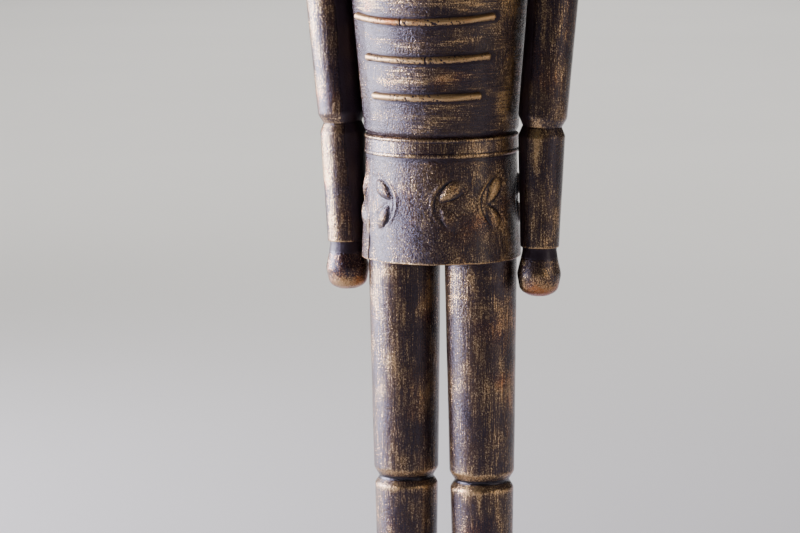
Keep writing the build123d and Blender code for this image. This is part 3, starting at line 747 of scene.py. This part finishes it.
def scroll_relief(u, v, lean, lower):
    """Height of one scroll: stem on the left, an upper and a lower lobe to its right."""
    upper, upper_hollow = lobe(u, v, (2.9, 5.9), 6.3, 3.9, lean, 1.3)
    under, under_hollow = lobe(u, v, (2.1, -6.3), 6.1, 3.9, -57, 1.25)
    bow = -5.6 + 7.0 * (v / 11.5) ** 2
    beside = (u - bow) / np.sqrt(1 + (14.0 * v / 132.0) ** 2)
    ends = smooth_step(-np.abs(v), -12.5, -8.5)
    clear = 1 - smooth_step(np.maximum(upper, under * lower), 0.05, 0.35)
    stem = (0.38 * bell(beside + 0.4, 0.8) - 0.34 * bell(beside - 0.95, 0.75)) * ends
    stem *= np.where(v < 0, lower + (1 - lower) * smooth_step(v, -5, 0), 1)
    return upper - upper_hollow + (under - under_hollow) * lower + stem * clear


def coat_skirt():
    """Stiff flared band with the leaf scrolls, the overlap at the seam and an uneven hem."""
    low, high = node_box("coat_skirt")
    bottom, top = low.z, high.z
    hem_radius, top_radius = 37.0, 35.2
    inner_top, inner_hem = WAIST_INNER, 35.6
    corners = (
        (inner_top, top, 0), (inner_top, 217.0, 0.3), (inner_hem, 216.6, 0.3), (inner_hem, bottom, 0.4),
        (hem_radius, bottom, 0.55), (top_radius, top, 0), (inner_top, top, 0),
    )
    profile = fillet_path(corners, 0.42)[:-1]
    grid = lathe_grid(profile, 620)
    flat = grid.reshape(-1, 3)
    x, y, z = flat.T
    radius = from_axis(flat)
    angle = np.degrees(front_angle(flat))
    outer = smooth_step(radius - (hem_radius + (top_radius - hem_radius) * (z - bottom) / (top - bottom)),
                        -1.0, -0.2)
    relief = np.zeros(len(flat))
    for centre, side, lean, lower in SCROLLS:
        u = side * np.radians((angle - centre + 180) % 360 - 180) * radius
        near = np.abs(u) < 14
        relief[near] += scroll_relief(u[near], z[near] - SCROLL_Z, lean, lower)
    down = smooth_step(-z, -252, -215)
    past = (SEAM_ANGLE - angle + 360) % 360
    seam_line = 0.5 * noise_along(0, 0, z / 9.0)
    overlap = smooth_step(past, 0.0 + seam_line, 0.75 + seam_line) * smooth_step(-past, -118, -40)
    lip = bell(past - 1.3, 0.8) * (past < 60)
    relief += (0.12 + 0.62 * down) * overlap + 0.22 * down * lip
    waves = 0.22 * noise_at(flat * np.array([1, 1, 0.6]), 13, 6.0) + 0.05 * noise_at(flat, 3.0, 2.0)
    lift = (relief + waves * smooth_step(top - z, 0, 10)) * outer
    flat[:, 0] += x / radius * lift
    flat[:, 1] += y / radius * lift
    ragged = 0.28 * noise_along(flat[:, 0] / 7, flat[:, 1] / 7, 1.5)
    at_hem = smooth_step(-z, -bottom - 3, -bottom)
    flat[:, 2] += ragged * at_hem + 0.28 * at_hem
    mask = coat_mask(flat, angle, z) + 0.28 * smooth_step(relief, 0.2, 1.2) * (past > 60)
    to_object("coat_skirt_sheet", flat, ring_faces(*grid.shape[:2]), COAT, "coat_skirt", mask, 2)


def coat_mask(points, angle, z):
    """A little gold along the hem and beside the left scroll, and none under the belt."""
    mask = 0.08 * bell(z - 212.0, 1.3) + 0.16 * noise_at(points, 18, 12.0)
    mask += 0.25 * bell(angle - 56, 16) * smooth_step(z, 214, 236)
    return mask - 0.7 * smooth_step(z, 257.6, 260.0)


# ---------------- arms

SHOULDER, ELBOW, CUFF = (56.6, 356.0), (48.9, 273.4), (47.6, 216.9)
DOME_RADIUS, ELBOW_RADIUS, CUFF_RADIUS = 11.8, 9.0, 9.0
ARM_STREAK = {"left": (-8, 8, 0.5), "right": (-30, 30, 0.27)}  # angle, width and strength


def arm_placing(side, start, end):
    """Placing at an arm stretch's start, with Z along the stretch, downwards."""
    sign = SIGN[side]
    down = Vector((sign * (end[0] - start[0]), 0, end[1] - start[1])).normalized()
    forward = Vector((0, 1, 0))
    across = forward.cross(down)
    placing = Matrix((across, forward, down)).transposed().to_4x4()
    placing.translation = Vector((sign * start[0], 0, start[1]))
    return placing


def inner_side(side):
    """No gold on the side that hangs against the body, as painted shade there, and one brushed gold streak
    per arm.
    """
    sign, (centre, width, strength) = SIGN[side], ARM_STREAK[side]

    def mask(points):
        share = np.clip((CUFF[1] - points[:, 2]) / (CUFF[1] - SHOULDER[1]), 0, 1)
        axis = CUFF[0] + (SHOULDER[0] - CUFF[0]) * share
        angle = np.degrees(np.arctan2(points[:, 0] - sign * axis, -points[:, 1]))
        brushed = strength * bell(angle - centre, width)
        brushed *= smooth_step(noise_at(points * np.array([1, 1, 0.3]), 7, 5.0), -0.45, 0.15)
        # Painted shade where the arm hangs against the body.
        shade_against_body = smooth_step(axis - sign * points[:, 0], 4.5, 8.5)
        return brushed - shade_against_body + 0.10 * noise_at(points, 16, sign)
    return mask


def arm(side):
    """Upper arm with a domed shoulder, forearm and hand, meeting in the V grooves of the elbow and cuff."""
    seed = 3.0 if side == "left" else 6.0
    reach = math.dist(SHOULDER, ELBOW)
    turns = np.radians(np.linspace(0.4, 90, 16))
    dome = [(DOME_RADIUS * math.sin(a), -DOME_RADIUS * math.cos(a), 0) for a in turns]
    upper = (*dome, (11.35, reach - 4.3, 3.6), (9.3, reach - 0.3, 0.6), (ELBOW_RADIUS, reach + 0.25, 0),
             (0.05, reach + 0.25, 0))
    turned(f"upper_arm_{side}_block", upper, LIMB, f"upper_arm_{side}",
           placing=arm_placing(side, SHOULDER, ELBOW), roughness=0.10, seed=seed, paint=inner_side(side))
    reach = math.dist(ELBOW, CUFF)
    lower = ((0.05, -0.25, 0), (ELBOW_RADIUS, -0.25, 0), (9.2, 0.4, 0.6), (10.95, 4.6, 3.6), (10.45, 18, 60),
             (CUFF_RADIUS, reach, 0.45), (0.05, reach, 0))
    turned(f"forearm_{side}_block", lower, LIMB, f"forearm_{side}",
           placing=arm_placing(side, ELBOW, CUFF), roughness=0.10, seed=seed + 1, paint=inner_side(side))
    hand(side, reach, seed)


def hand_gild(along):
    """Bare dark neck, and copper gathered on the underside."""
    def mask(points):
        z = points[:, 2]
        neck = smooth_step(z, along - 6.5, along - 3.5)
        under = smooth_step(-z, -(along - 14.5), -(along - 20.0))
        return -0.9 * neck + 0.45 * under + 0.25 * noise_at(points, 6.0, 2.0)
    return mask


def hand(side, reach, seed):
    placing = arm_placing(side, ELBOW, CUFF) @ Matrix.Translation((0, 0, reach))
    corners = ((0.05, 0, 0), (8.0, 0, 0.2), (8.0, 1.6, 3), (8.8, 6.0, 9), (10.4, 12.8, 7),
               (8.8, 20.6, 5.5), (4.6, 22.8, 5), (0.05, 23.0, 0))
    turned(f"hand_{side}_knob", corners, HAND, f"hand_{side}", placing=placing, step=0.45,
           roughness=0.14, seed=seed + 2, paint=hand_gild(placing.translation.z))


# ---------------- base and boot toes

BASE_TOP = node_box("base_step")[1].z


def rounded_rectangle(half_x, half_y, corner, step):
    """Points and outward normals round a rounded rectangle, anticlockwise from above."""
    places, normals = [], []
    for number, (x, y) in enumerate(((1, -1), (1, 1), (-1, 1), (-1, -1))):
        middle = np.array([x * (half_x - corner), y * (half_y - corner)])
        count = max(6, int(corner * math.pi / 2 / step))
        for share in np.linspace(0, 1, count + 1):
            a = math.radians(-90 + 90 * (number + share))
            normals.append((math.cos(a), math.sin(a)))
            places.append(middle + corner * np.array(normals[-1]))
        side = 2 * (half_y if number % 2 == 0 else half_x) - 2 * corner
        along = np.array([-math.sin(math.radians(90 * number)), math.cos(math.radians(90 * number))])
        start = places[-1]
        for share in np.linspace(0, 1, int(side / step) + 1)[1:-1]:
            places.append(start + along * side * share)
            normals.append(normals[-1])
    return np.array(places), np.array(normals)


def tier(name, node, corners, corner, look, roughness=0.09, seed=1.0):
    """Block with rounded upright corners and the edge profile of (inset, height, rounding) corners."""
    low, high = node_box(node)
    places, normals = rounded_rectangle((high.x - low.x) / 2, (high.y - low.y) / 2, corner, 0.9)
    profile = fillet_path(corners, 0.45)
    rows = [np.column_stack([places - normals * inset, np.full(len(places), z)]) for inset, z in profile]
    shrink = np.linspace(1, 0.02, 40)[1:]
    bottom = [rows[0] * np.array([s, s, 1]) for s in shrink[::-1]]
    top = [rows[-1] * np.array([s, s, 1]) for s in shrink]
    grid = np.array(bottom + rows + top)
    flat = grid.reshape(-1, 3)
    lift = noise_at(flat, 11, seed) * roughness
    flat[:, 2] += np.where(flat[:, 2] > (low.z + high.z) / 2, lift - roughness, 0)
    to_object(name, flat, capped_faces(*grid.shape[:2]), look, node)


def base():
    low, high = node_box("base_plinth")
    z0, z1 = low.z, high.z
    plinth = ((0.7, z0, 0), (0, z0 + 0.7, 0.5), (0, z0 + 6.2, 0.3), (0.7, z0 + 6.7, 0.3),
              (0.7, z0 + 7.1, 0.3), (0, z0 + 7.6, 0.3), (0, z1, 3.0), (4.2, z1, 0))
    tier("plinth_block", "base_plinth", plinth, 8, BASE_PAINT, seed=3.0)
    low, high = node_box("base_step")
    z0, z1 = low.z, high.z
    step = ((0.5, z0, 0), (0, z0 + 0.5, 0.4), (0, z1 - 3.4, 0.3), (0.6, z1 - 3.0, 0.3),
            (0.6, z1 - 2.6, 0.2), (0.5, z1, 2.0), (3.6, z1, 0))
    tier("step_block", "base_step", step, 6, BASE_PAINT, seed=7.0)
    low, high = node_box("felt_pad")
    pad = ((0.6, low.z, 0), (0, low.z + 0.4, 0.3), (0, high.z - 0.3, 0.3), (0.6, high.z, 0))
    tier("felt_sheet", "felt_pad", pad, 7, FELT, roughness=0.0)


def welt_line(points):
    """Line between the boot's sole and upper."""
    return -0.55 * bell(points[:, 2] - BASE_TOP - 4.4, 0.45)


def boot_toe(side):
    resurfaced(f"boot_toe_{side}_block", f"boot_toe_{side}", LEG_PAINT, 0.55, smoothing=5,
               carve=welt_line, seed=4.0 if side == "left" else 9.0)


# ---------------- shoulders

EPAULETTE_RADIUS, FRINGE_OUTER = 13.0, 15.8


def epaulette(side):
    sign = SIGN[side]
    board_top = node_box(f"epaulette_{side}")[1].z

    def carve(points):
        """Bead round the board and a line across its tongue."""
        from_centre = np.hypot(points[:, 0] - sign * SHOULDER[0], points[:, 1])
        top = smooth_step(points[:, 2], board_top - 0.7, board_top - 0.2)
        outer = sign * points[:, 0] > 44
        bead = bell(from_centre - 10.4, 0.5) + 0.7 * bell(from_centre - 8.4, 0.4)
        across = bell(sign * points[:, 0] - 40.0, 0.5)
        return -0.45 * top * (bead * outer + across)

    resurfaced(f"epaulette_{side}_board", f"epaulette_{side}", TRIM, 0.42, smoothing=4, carve=carve,
               seed=6.0 + sign)


def epaulette_fringe(side):
    """Twisted cords hanging round the board's outer end, with small turned-in tips."""
    sign = SIGN[side]
    node = f"epaulette_fringe_{side}"
    low, high = node_box(node)
    ring = (EPAULETTE_RADIUS + FRINGE_OUTER) / 2 + 0.25
    cord = 0.80
    count = int(math.radians(68) * ring / (cord * 2.02))
    columns = 18
    points, faces = [], []
    for number in range(count):
        angle = math.radians(-32.5 + 65 * number / (count - 1))
        x0, y0 = sign * (SHOULDER[0] + ring * math.cos(angle)), ring * math.sin(angle)
        length = high.z - low.z - 0.25 * (number % 3) - 0.1
        heights = np.linspace(0, length, 44)
        start = len(points)
        for h in heights:
            near_end = min(h, length - h)
            size = cord * math.sqrt(max(1 - (1 - min(near_end / 0.9, 1)) ** 2, 0.01))
            for column in range(columns):
                a = 2 * math.pi * column / columns
                lobed = size * (0.86 + 0.14 * math.cos(3 * (a - 0.95 * h)))
                points.append((x0 + lobed * math.cos(a), y0 + lobed * math.sin(a), high.z - length + h))
        faces += capped_faces(len(heights), columns, start)
    to_object(f"{node}_cords", points, faces, TRIM, node, passes=1, sharp=70)


# ---------------- head and face

EYE_X, EYE_Z = 9.6, 424.0
LID_HALF_WIDTH, LID_HALF_HEIGHT, LID_BED = 3.9, 2.9, 29.2


def about(points, x, y, z, spread_x, spread_y, spread_z):
    """Soft weight round a place and, in mirror image, round its twin on the other side."""
    across = (np.abs(points[:, 0]) - x) / spread_x
    return np.exp(-(across**2) - ((points[:, 1] - y) / spread_y) ** 2 - ((points[:, 2] - z) / spread_z) ** 2)


def head_form(points):
    """Eye hollows, cheeks, brow and the hollow under the nose."""
    front = smooth_step(-points[:, 1], 8, 16)
    sockets = -1.1 * about(points, EYE_X, -27, EYE_Z, 4.6, 9, 3.4)
    cheeks = 0.8 * about(points, 16.5, -23, 413, 5.5, 9, 5.0)
    brow = 0.5 * about(points, 10, -27, 431.5, 6.5, 9, 2.2)
    fold = -0.35 * about(points, 17.5, -22, 405.0, 1.2, 9, 6.0)
    return (sockets + cheeks + brow + fold) * front


def head():
    resurfaced("head_block", "head", FACE, 0.6, smoothing=4, carve=head_form, seed=8.0)


def nose():
    low, high = node_box("nose")

    def form(points):
        wings = 0.45 * about(points, 3.2, -33, low.z + 2.4, 1.3, 2.4, 1.6)
        nostrils = -0.7 * about(points, 1.7, -34, low.z, 0.8, 1.6, 0.9)
        bridge = -0.35 * about(points, 2.6, -31, high.z - 4, 1.2, 3, 4)
        return wings + nostrils + bridge

    resurfaced("nose_block", "nose", FACE, 0.3, smoothing=6, carve=form, seed=2.0)


def moustache():
    def strands(points):
        x, z = np.abs(points[:, 0]), points[:, 2]
        middle = 407.9 - 0.9 * np.sin(np.pi * np.minimum(x, 16) / 16) + 0.24 * np.maximum(x - 13.5, 0) ** 2
        wave = 0.35 * noise_at(points, 5.0, 3.0)
        parting = -0.7 * bell(points[:, 0], 0.7)
        return parting - 0.30 * ripple(z - middle + wave, 1.25) ** 2

    resurfaced("moustache_block", "moustache", TRIM, 0.28, smoothing=5, carve=strands, passes=5,
               seed=5.0)


def eyebrows():
    def strands(points):
        slant = np.abs(points[:, 0]) * 0.75 + points[:, 2] * 0.66
        return -0.24 * ripple(slant, 1.05) ** 2

    resurfaced("eyebrow_strips", "eyebrows", TRIM, 0.25, smoothing=5, carve=strands, passes=5,
               seed=3.0)


def eyes():
    """Domed eyes with an engraved ring round a painted dark iris, a pale dot in its middle as a painted
    highlight, between modelled lids.
    """
    def from_gaze(points):
        return np.hypot(np.abs(points[:, 0]) - EYE_X, points[:, 2] - EYE_Z)

    def iris_line(points):
        return -0.16 * bell(from_gaze(points) - 1.75, 0.25)

    def painted(points):
        away = from_gaze(points)
        # Pale eye, dark iris and pupil, and a pale dot in the middle as a painted highlight.
        return 0.5 - 3.0 * smooth_step(-away, -1.9, -1.6) + 3.2 * smooth_step(-away, -0.55, -0.3)

    resurfaced("eye_domes", "eyes", EYE_PAINT, 0.22, smoothing=5, carve=iris_line, seed=6.0, gild_and_shade=painted)
    points, faces = [], []
    for sign in (-1, 1):
        for start, end, bulk in ((12, 168, 0.62), (-158, -22, 0.45)):
            add_lid(points, faces, sign, start, end, bulk)
    to_object("eyelids", points, faces, FACE, "eyes", passes=2)


def add_lid(points, faces, sign, start, end, bulk):
    """Adds one lid: a tapered bead along part of an oval round the eye, lying on the head."""
    first, columns, count = len(points), 14, 46
    for share in np.linspace(0, 1, count):
        t = math.radians(start + (end - start) * share)
        x, z = sign * (EYE_X + LID_HALF_WIDTH * math.cos(t)), EYE_Z + LID_HALF_HEIGHT * math.sin(t)
        out = np.array([x, -math.sqrt(LID_BED**2 - x * x), 0.0]) / LID_BED
        tangent = np.array([-sign * LID_HALF_WIDTH * math.sin(t), 0.0, LID_HALF_HEIGHT * math.cos(t)])
        tangent -= out * (tangent @ out)
        tangent /= np.linalg.norm(tangent)
        side = np.cross(out, tangent)
        size = bulk * math.sin(math.pi * min(max(share, 0.02), 0.98)) ** 0.5
        middle = out * (LID_BED - 0.2) + np.array([0.0, 0.0, z])
        for column in range(columns):
            a = 2 * math.pi * column / columns * sign
            points.append(middle + out * size * 1.25 * math.cos(a) + side * size * math.sin(a))
    faces += capped_faces(count, columns, first)


def hair():
    def locks(points):
        angle = np.arctan2(points[:, 1], points[:, 0])
        radius = from_axis(points)
        outer = smooth_step(radius, 30.6, 31.6)
        wave = 0.9 * np.sin(points[:, 2] / 7.5 + 2.2 * np.sin(angle * 5)) + 0.9 * noise_at(points, 9, 4.0)
        fine, broad = ripple(angle * 32 + wave * 0.6, 1.25), ripple(angle * 32 + wave, 4.6)
        grooves = (-0.28 * fine**2 - 0.34 * broad**3) * outer
        from_front = np.degrees(np.arccos(np.clip(-points[:, 1] / radius, -1, 1))) - 62.0
        thinned = -2.3 * (1 - smooth_step(from_front, -1.0, 13.0)) * outer
        end = smooth_step(-points[:, 2], -384.0, -380.3)
        return grooves + thinned - 1.3 * end * (0.35 + 0.65 * np.abs(np.sin(angle * 11.0))) * outer

    resurfaced("hair_block", "hair", HAIR, 0.42, smoothing=3, carve=locks, passes=5, seed=7.0)


def teeth_lines(points):
    """Gaps between six teeth."""
    pitch = 3.6
    from_gap = np.abs((points[:, 0] / pitch + 0.5) % 1 - 0.5) * pitch
    inner = np.abs(points[:, 0]) < 9.5
    return -0.5 * bell(from_gap, 0.28) * inner


def teeth(name):
    resurfaced(f"{name}_row", name, TRIM, 0.26, smoothing=3, carve=teeth_lines, passes=4,
               roughness=0.02)


def jaw():
    def chin(points):
        return -0.4 * bell(points[:, 2] - 393.5, 0.8) * smooth_step(-points[:, 1], 20, 26)

    resurfaced("jaw_block", "jaw", FACE, 0.45, smoothing=4, carve=chin, seed=4.0)
    resurfaced("lever_bar", "jaw_lever", COAT, 0.55, smoothing=5, seed=5.0)


def beard():
    low, high = node_box("beard")

    def strands(points):
        share = np.clip((points[:, 2] - low.z) / (high.z - low.z), 0, 1)
        across = points[:, 0] / (0.45 + 0.55 * share**0.7)
        wave = 0.7 * np.sin(points[:, 2] / 4.2 + points[:, 0] * 0.25) + 0.5 * noise_at(points, 6, 2.0)
        return -0.34 * ripple(across + wave, 1.35) ** 2 - 0.4 * ripple(across + wave, 4.4) ** 3

    resurfaced("beard_block", "beard", HAIR, 0.32, smoothing=4, carve=strands, passes=5, seed=9.0)


def collar(side):
    def bead(points):
        outer, z = smooth_step(from_axis(points), 30.5, 32.5), points[:, 2]
        return -0.5 * outer * (bell(z - 371.2, 0.4) + bell(z - 374.6, 0.4))

    resurfaced(f"collar_{side}_half", f"collar_{side}", TRIM, 0.5, smoothing=3, carve=bead, passes=4,
               seed=3.0 if side == "left" else 8.0)


# ---------------- hat

HAT_BASE, HAT_TOP = (corner.z for corner in node_box("hat_body"))
HAT_RADIUS, HAT_TOP_RADIUS = 30.0, 33.0


def hat_wall(z):
    share = np.clip((z - HAT_BASE) / (HAT_TOP - 7 - HAT_BASE), 0, 1)
    return HAT_RADIUS + share * (HAT_TOP_RADIUS - HAT_RADIUS)


def hat_body():
    corners = ((0.05, HAT_BASE, 0), (HAT_RADIUS, HAT_BASE, 0.3), (HAT_TOP_RADIUS, HAT_TOP - 7, 2),
               (HAT_TOP_RADIUS, HAT_TOP - 2.5, 2), (18, HAT_TOP, 30), (6.2, HAT_TOP, 0.2), (0.05, HAT_TOP, 0))
    turned("hat_block", corners, COAT, "hat_body", roughness=0.14, seed=11.0, step=0.7)


def hat_ring(name, node, pattern):
    """Band round the hat, with a pattern pressed into its face."""
    low, high = node_box(node)
    z0, z1, outer = low.z, high.z, (high.x - low.x) / 2
    corners = ((hat_wall(z0) - 0.6, z0, 0), (outer, z0, 0.8), (outer, z1, 0.8), (hat_wall(z1) - 0.6, z1, 0))
    profile = fillet_path(corners, 0.3)
    grid = lathe_grid(profile, 640)
    flat = grid.reshape(-1, 3)
    radius = from_axis(flat)
    angle = front_angle(flat)
    share = (flat[:, 2] - z0) / (z1 - z0)
    lift = pattern(angle, share) * smooth_step(radius, outer - 0.5, outer - 0.05)
    flat[:, :2] *= (1 + lift / radius)[:, None]
    to_object(name, flat, ring_faces(*grid.shape[:2]), TRIM, node, passes=2)


def rope_pattern(angle, share):
    """Slanting strands of a laid rope."""
    return -0.55 * (0.5 - 0.5 * np.cos(angle * 64 + share * 5.0)) ** 2


def beaded_lines(angle, share):
    """Two lines with a row of shallow beads between them."""
    lines = bell(share - 0.18, 0.05) + bell(share - 0.82, 0.05)
    pitch = 2 * math.pi / 44
    across = (angle / pitch + 0.5) % 1 - 0.5
    bead = np.sqrt((across * 4.5 / 2.2) ** 2 + ((share - 0.5) * 6.5 / 2.0) ** 2)
    return -0.45 * lines - 0.35 * smooth_step(bead, 0.8, 1.05) * (np.abs(share - 0.5) < 0.32)


def hat_badge():
    """Plain rosette: eight domed petals round a button, seated on the hat's wall."""
    low, high = node_box("hat_badge")
    middle, reach = (low.z + high.z) / 2, (high.z - low.z) / 2
    columns, rows = 192, 46
    angle = np.linspace(0, 2 * math.pi, columns, endpoint=False)
    petal = np.abs(np.cos(4 * angle))
    edge = reach * (0.83 + 0.17 * petal**0.6)
    share = np.linspace(1.0, 0.006, rows)[:, None]
    away = share * edge[None, :]
    dome = 1.35 * np.clip(1 - ((share - 0.62) / 0.40) ** 2, 0, 1) ** 0.7
    dome = dome * (0.45 + 0.55 * petal[None, :] ** 0.8)
    button = 2.0 * np.sqrt(np.clip(1 - (away / 2.9) ** 2, 0, 1))
    ring = 0.35 * bell(away - 3.5, 0.35)
    rise = 0.15 + 0.5 * np.minimum((1 - share) * 8, 1) + np.maximum(dome, button) + ring
    x, z = away * np.cos(angle), middle + away * np.sin(angle)
    y = -(np.sqrt(hat_wall(z) ** 2 - x**2) + np.minimum(rise, 2.3))
    front = np.stack([x, y, z], -1)
    back = front[0] + np.array([0, 2.4, 0])
    grid = np.concatenate([back[None], front])
    to_object("hat_rosette", grid, capped_faces(*grid.shape[:2]), TRIM, "hat_badge")


def hat_finial():
    low, high = node_box("hat_finial")
    base, top = HAT_TOP, high.z
    corners = ((0.05, low.z, 0), (2, low.z, 0), (2, base - 0.2, 0), (6, base - 0.2, 0), (6, base + 2, 0.6),
               (3.2, base + 4, 1), (7.2, base + 9, 4), (1.2, top - 0.5, 4), (0.05, top, 0))
    turned("finial_knob", corners, TRIM, "hat_finial", step=0.35, roughness=0.04, seed=13.0)


def hat():
    hat_body()
    hat_ring("hat_band_strip", "hat_band", beaded_lines)
    hat_ring("hat_top_rope", "hat_top_band", rope_pattern)
    resurfaced("visor_peak", "hat_visor", COAT, 0.4, smoothing=5, seed=12.0)
    hat_badge()
    hat_finial()


# ---------------- building

def build():
    base()
    for side in ("left", "right"):
        leg(side)
        boot_toe(side)
        arm(side)
        epaulette(side)
        epaulette_fringe(side)
        collar(side)
    torso()
    belt()
    coat_skirt()
    for number in range(len(BRAIDS)):
        braid(number)
    head()
    nose()
    moustache()
    eyebrows()
    eyes()
    hair()
    teeth("upper_teeth")
    teeth("lower_teeth")
    jaw()
    beard()
    hat()


def paint_cad():
    """Materials for the CAD nodes that stay as they are."""
    looks = {"bronze_paint": COAT, "gold_trim": TRIM, "bare_wood": WOOD, "steel": STEEL, "felt": FELT}
    for name, item in frame["nodes"].items():
        for place in item.material_slots:
            place.material = looks[SLOT_OF[name]]


build()
paint_cad()


# ---------------- stage

TURN = math.radians(18.0)  # how far the camera stands round to the figure's left
DISTANCE, EYE_HEIGHT = 1.5382, 0.4165
PITCH, YAW, ROLL = 0.136, -0.013, -0.009
FOCAL_SHARE = 3300 / 800  # focal length over picture width


def rolled(a, b, angle):
    """Two axes at right angles, both turned by the angle from the first towards the second."""
    return math.cos(angle) * a + math.sin(angle) * b, math.cos(angle) * b - math.sin(angle) * a


def set_camera():
    """Camera at the figure's upper chest height, looking slightly down at the waist."""
    ahead = Vector((-math.sin(TURN), math.cos(TURN), 0))
    right = Vector((math.cos(TURN), math.sin(TURN), 0))
    up = Vector((0, 0, 1))
    ahead, right = rolled(ahead, right, YAW)
    up, ahead = rolled(up, ahead, PITCH)
    right, up = rolled(right, up, ROLL)
    data = bpy.data.cameras.new("camera")
    data.sensor_width = 36.0
    data.lens = 36.0 * FOCAL_SHARE
    data.clip_end = 50.0
    camera = in_scene("camera", data)
    placing = Matrix((right, up, -ahead)).transposed().to_4x4()
    placing.translation = Vector((math.sin(TURN) * DISTANCE, -math.cos(TURN) * DISTANCE, EYE_HEIGHT))
    camera.matrix_world = placing
    bpy.context.scene.camera = camera


def add_floor():
    half = 12.0
    corners = [(-half, -half, 0), (half, -half, 0), (half, half, 0), (-half, half, 0)]
    mesh = bpy.data.meshes.new("floor")
    mesh.from_pydata(corners, [], [(0, 1, 2, 3)])
    mesh.materials.append(floor_look("floor_pale"))
    floor = in_scene("floor", mesh)


def soft_box(name, azimuth, distance, target, height, width, tall, power, colour, spread):
    """Area light in metres, watts and degrees, turned towards a target; azimuth 0 is in front."""
    data = bpy.data.lights.new(name, "AREA")
    data.shape, data.size, data.size_y = "RECTANGLE", width, tall
    data.energy, data.color, data.spread = power, colour, math.radians(spread)
    lamp = in_scene(name, data)
    a = math.radians(azimuth)
    place = Vector((math.sin(a) * distance, -math.cos(a) * distance, height))
    lamp.location = place
    lamp.rotation_euler = (Vector(target) - place).to_track_quat("-Z", "Y").to_euler()


def set_world():
    """Dim, even studio surround, so that the soft boxes shape the figure."""
    world = bpy.data.worlds.new("studio")
    world.use_nodes = True
    background = world.node_tree.nodes["Background"]
    background.inputs["Color"].default_value = (0.97, 0.985, 1.0, 1)
    background.inputs["Strength"].default_value = 0.09
    bpy.context.scene.world = world


set_camera()
add_floor()
set_world()
soft_box("key_window", azimuth=-82, distance=1.35, target=(0, 0, 0.27), height=0.37, width=1.25,
         tall=0.72, power=40, colour=(0.89, 0.87, 1.0), spread=105)
soft_box("right_bounce", azimuth=78, distance=1.6, target=(0, 0, 0.25), height=0.45, width=0.6,
         tall=0.9, power=2.6, colour=(1.0, 0.86, 0.74), spread=120)
soft_box("overhead_rear", azimuth=-163, distance=3.5, target=(-1.20, 3.92, 0), height=3.2, width=3.8,
         tall=6.4, power=104, colour=(1.0, 0.985, 0.965), spread=62)
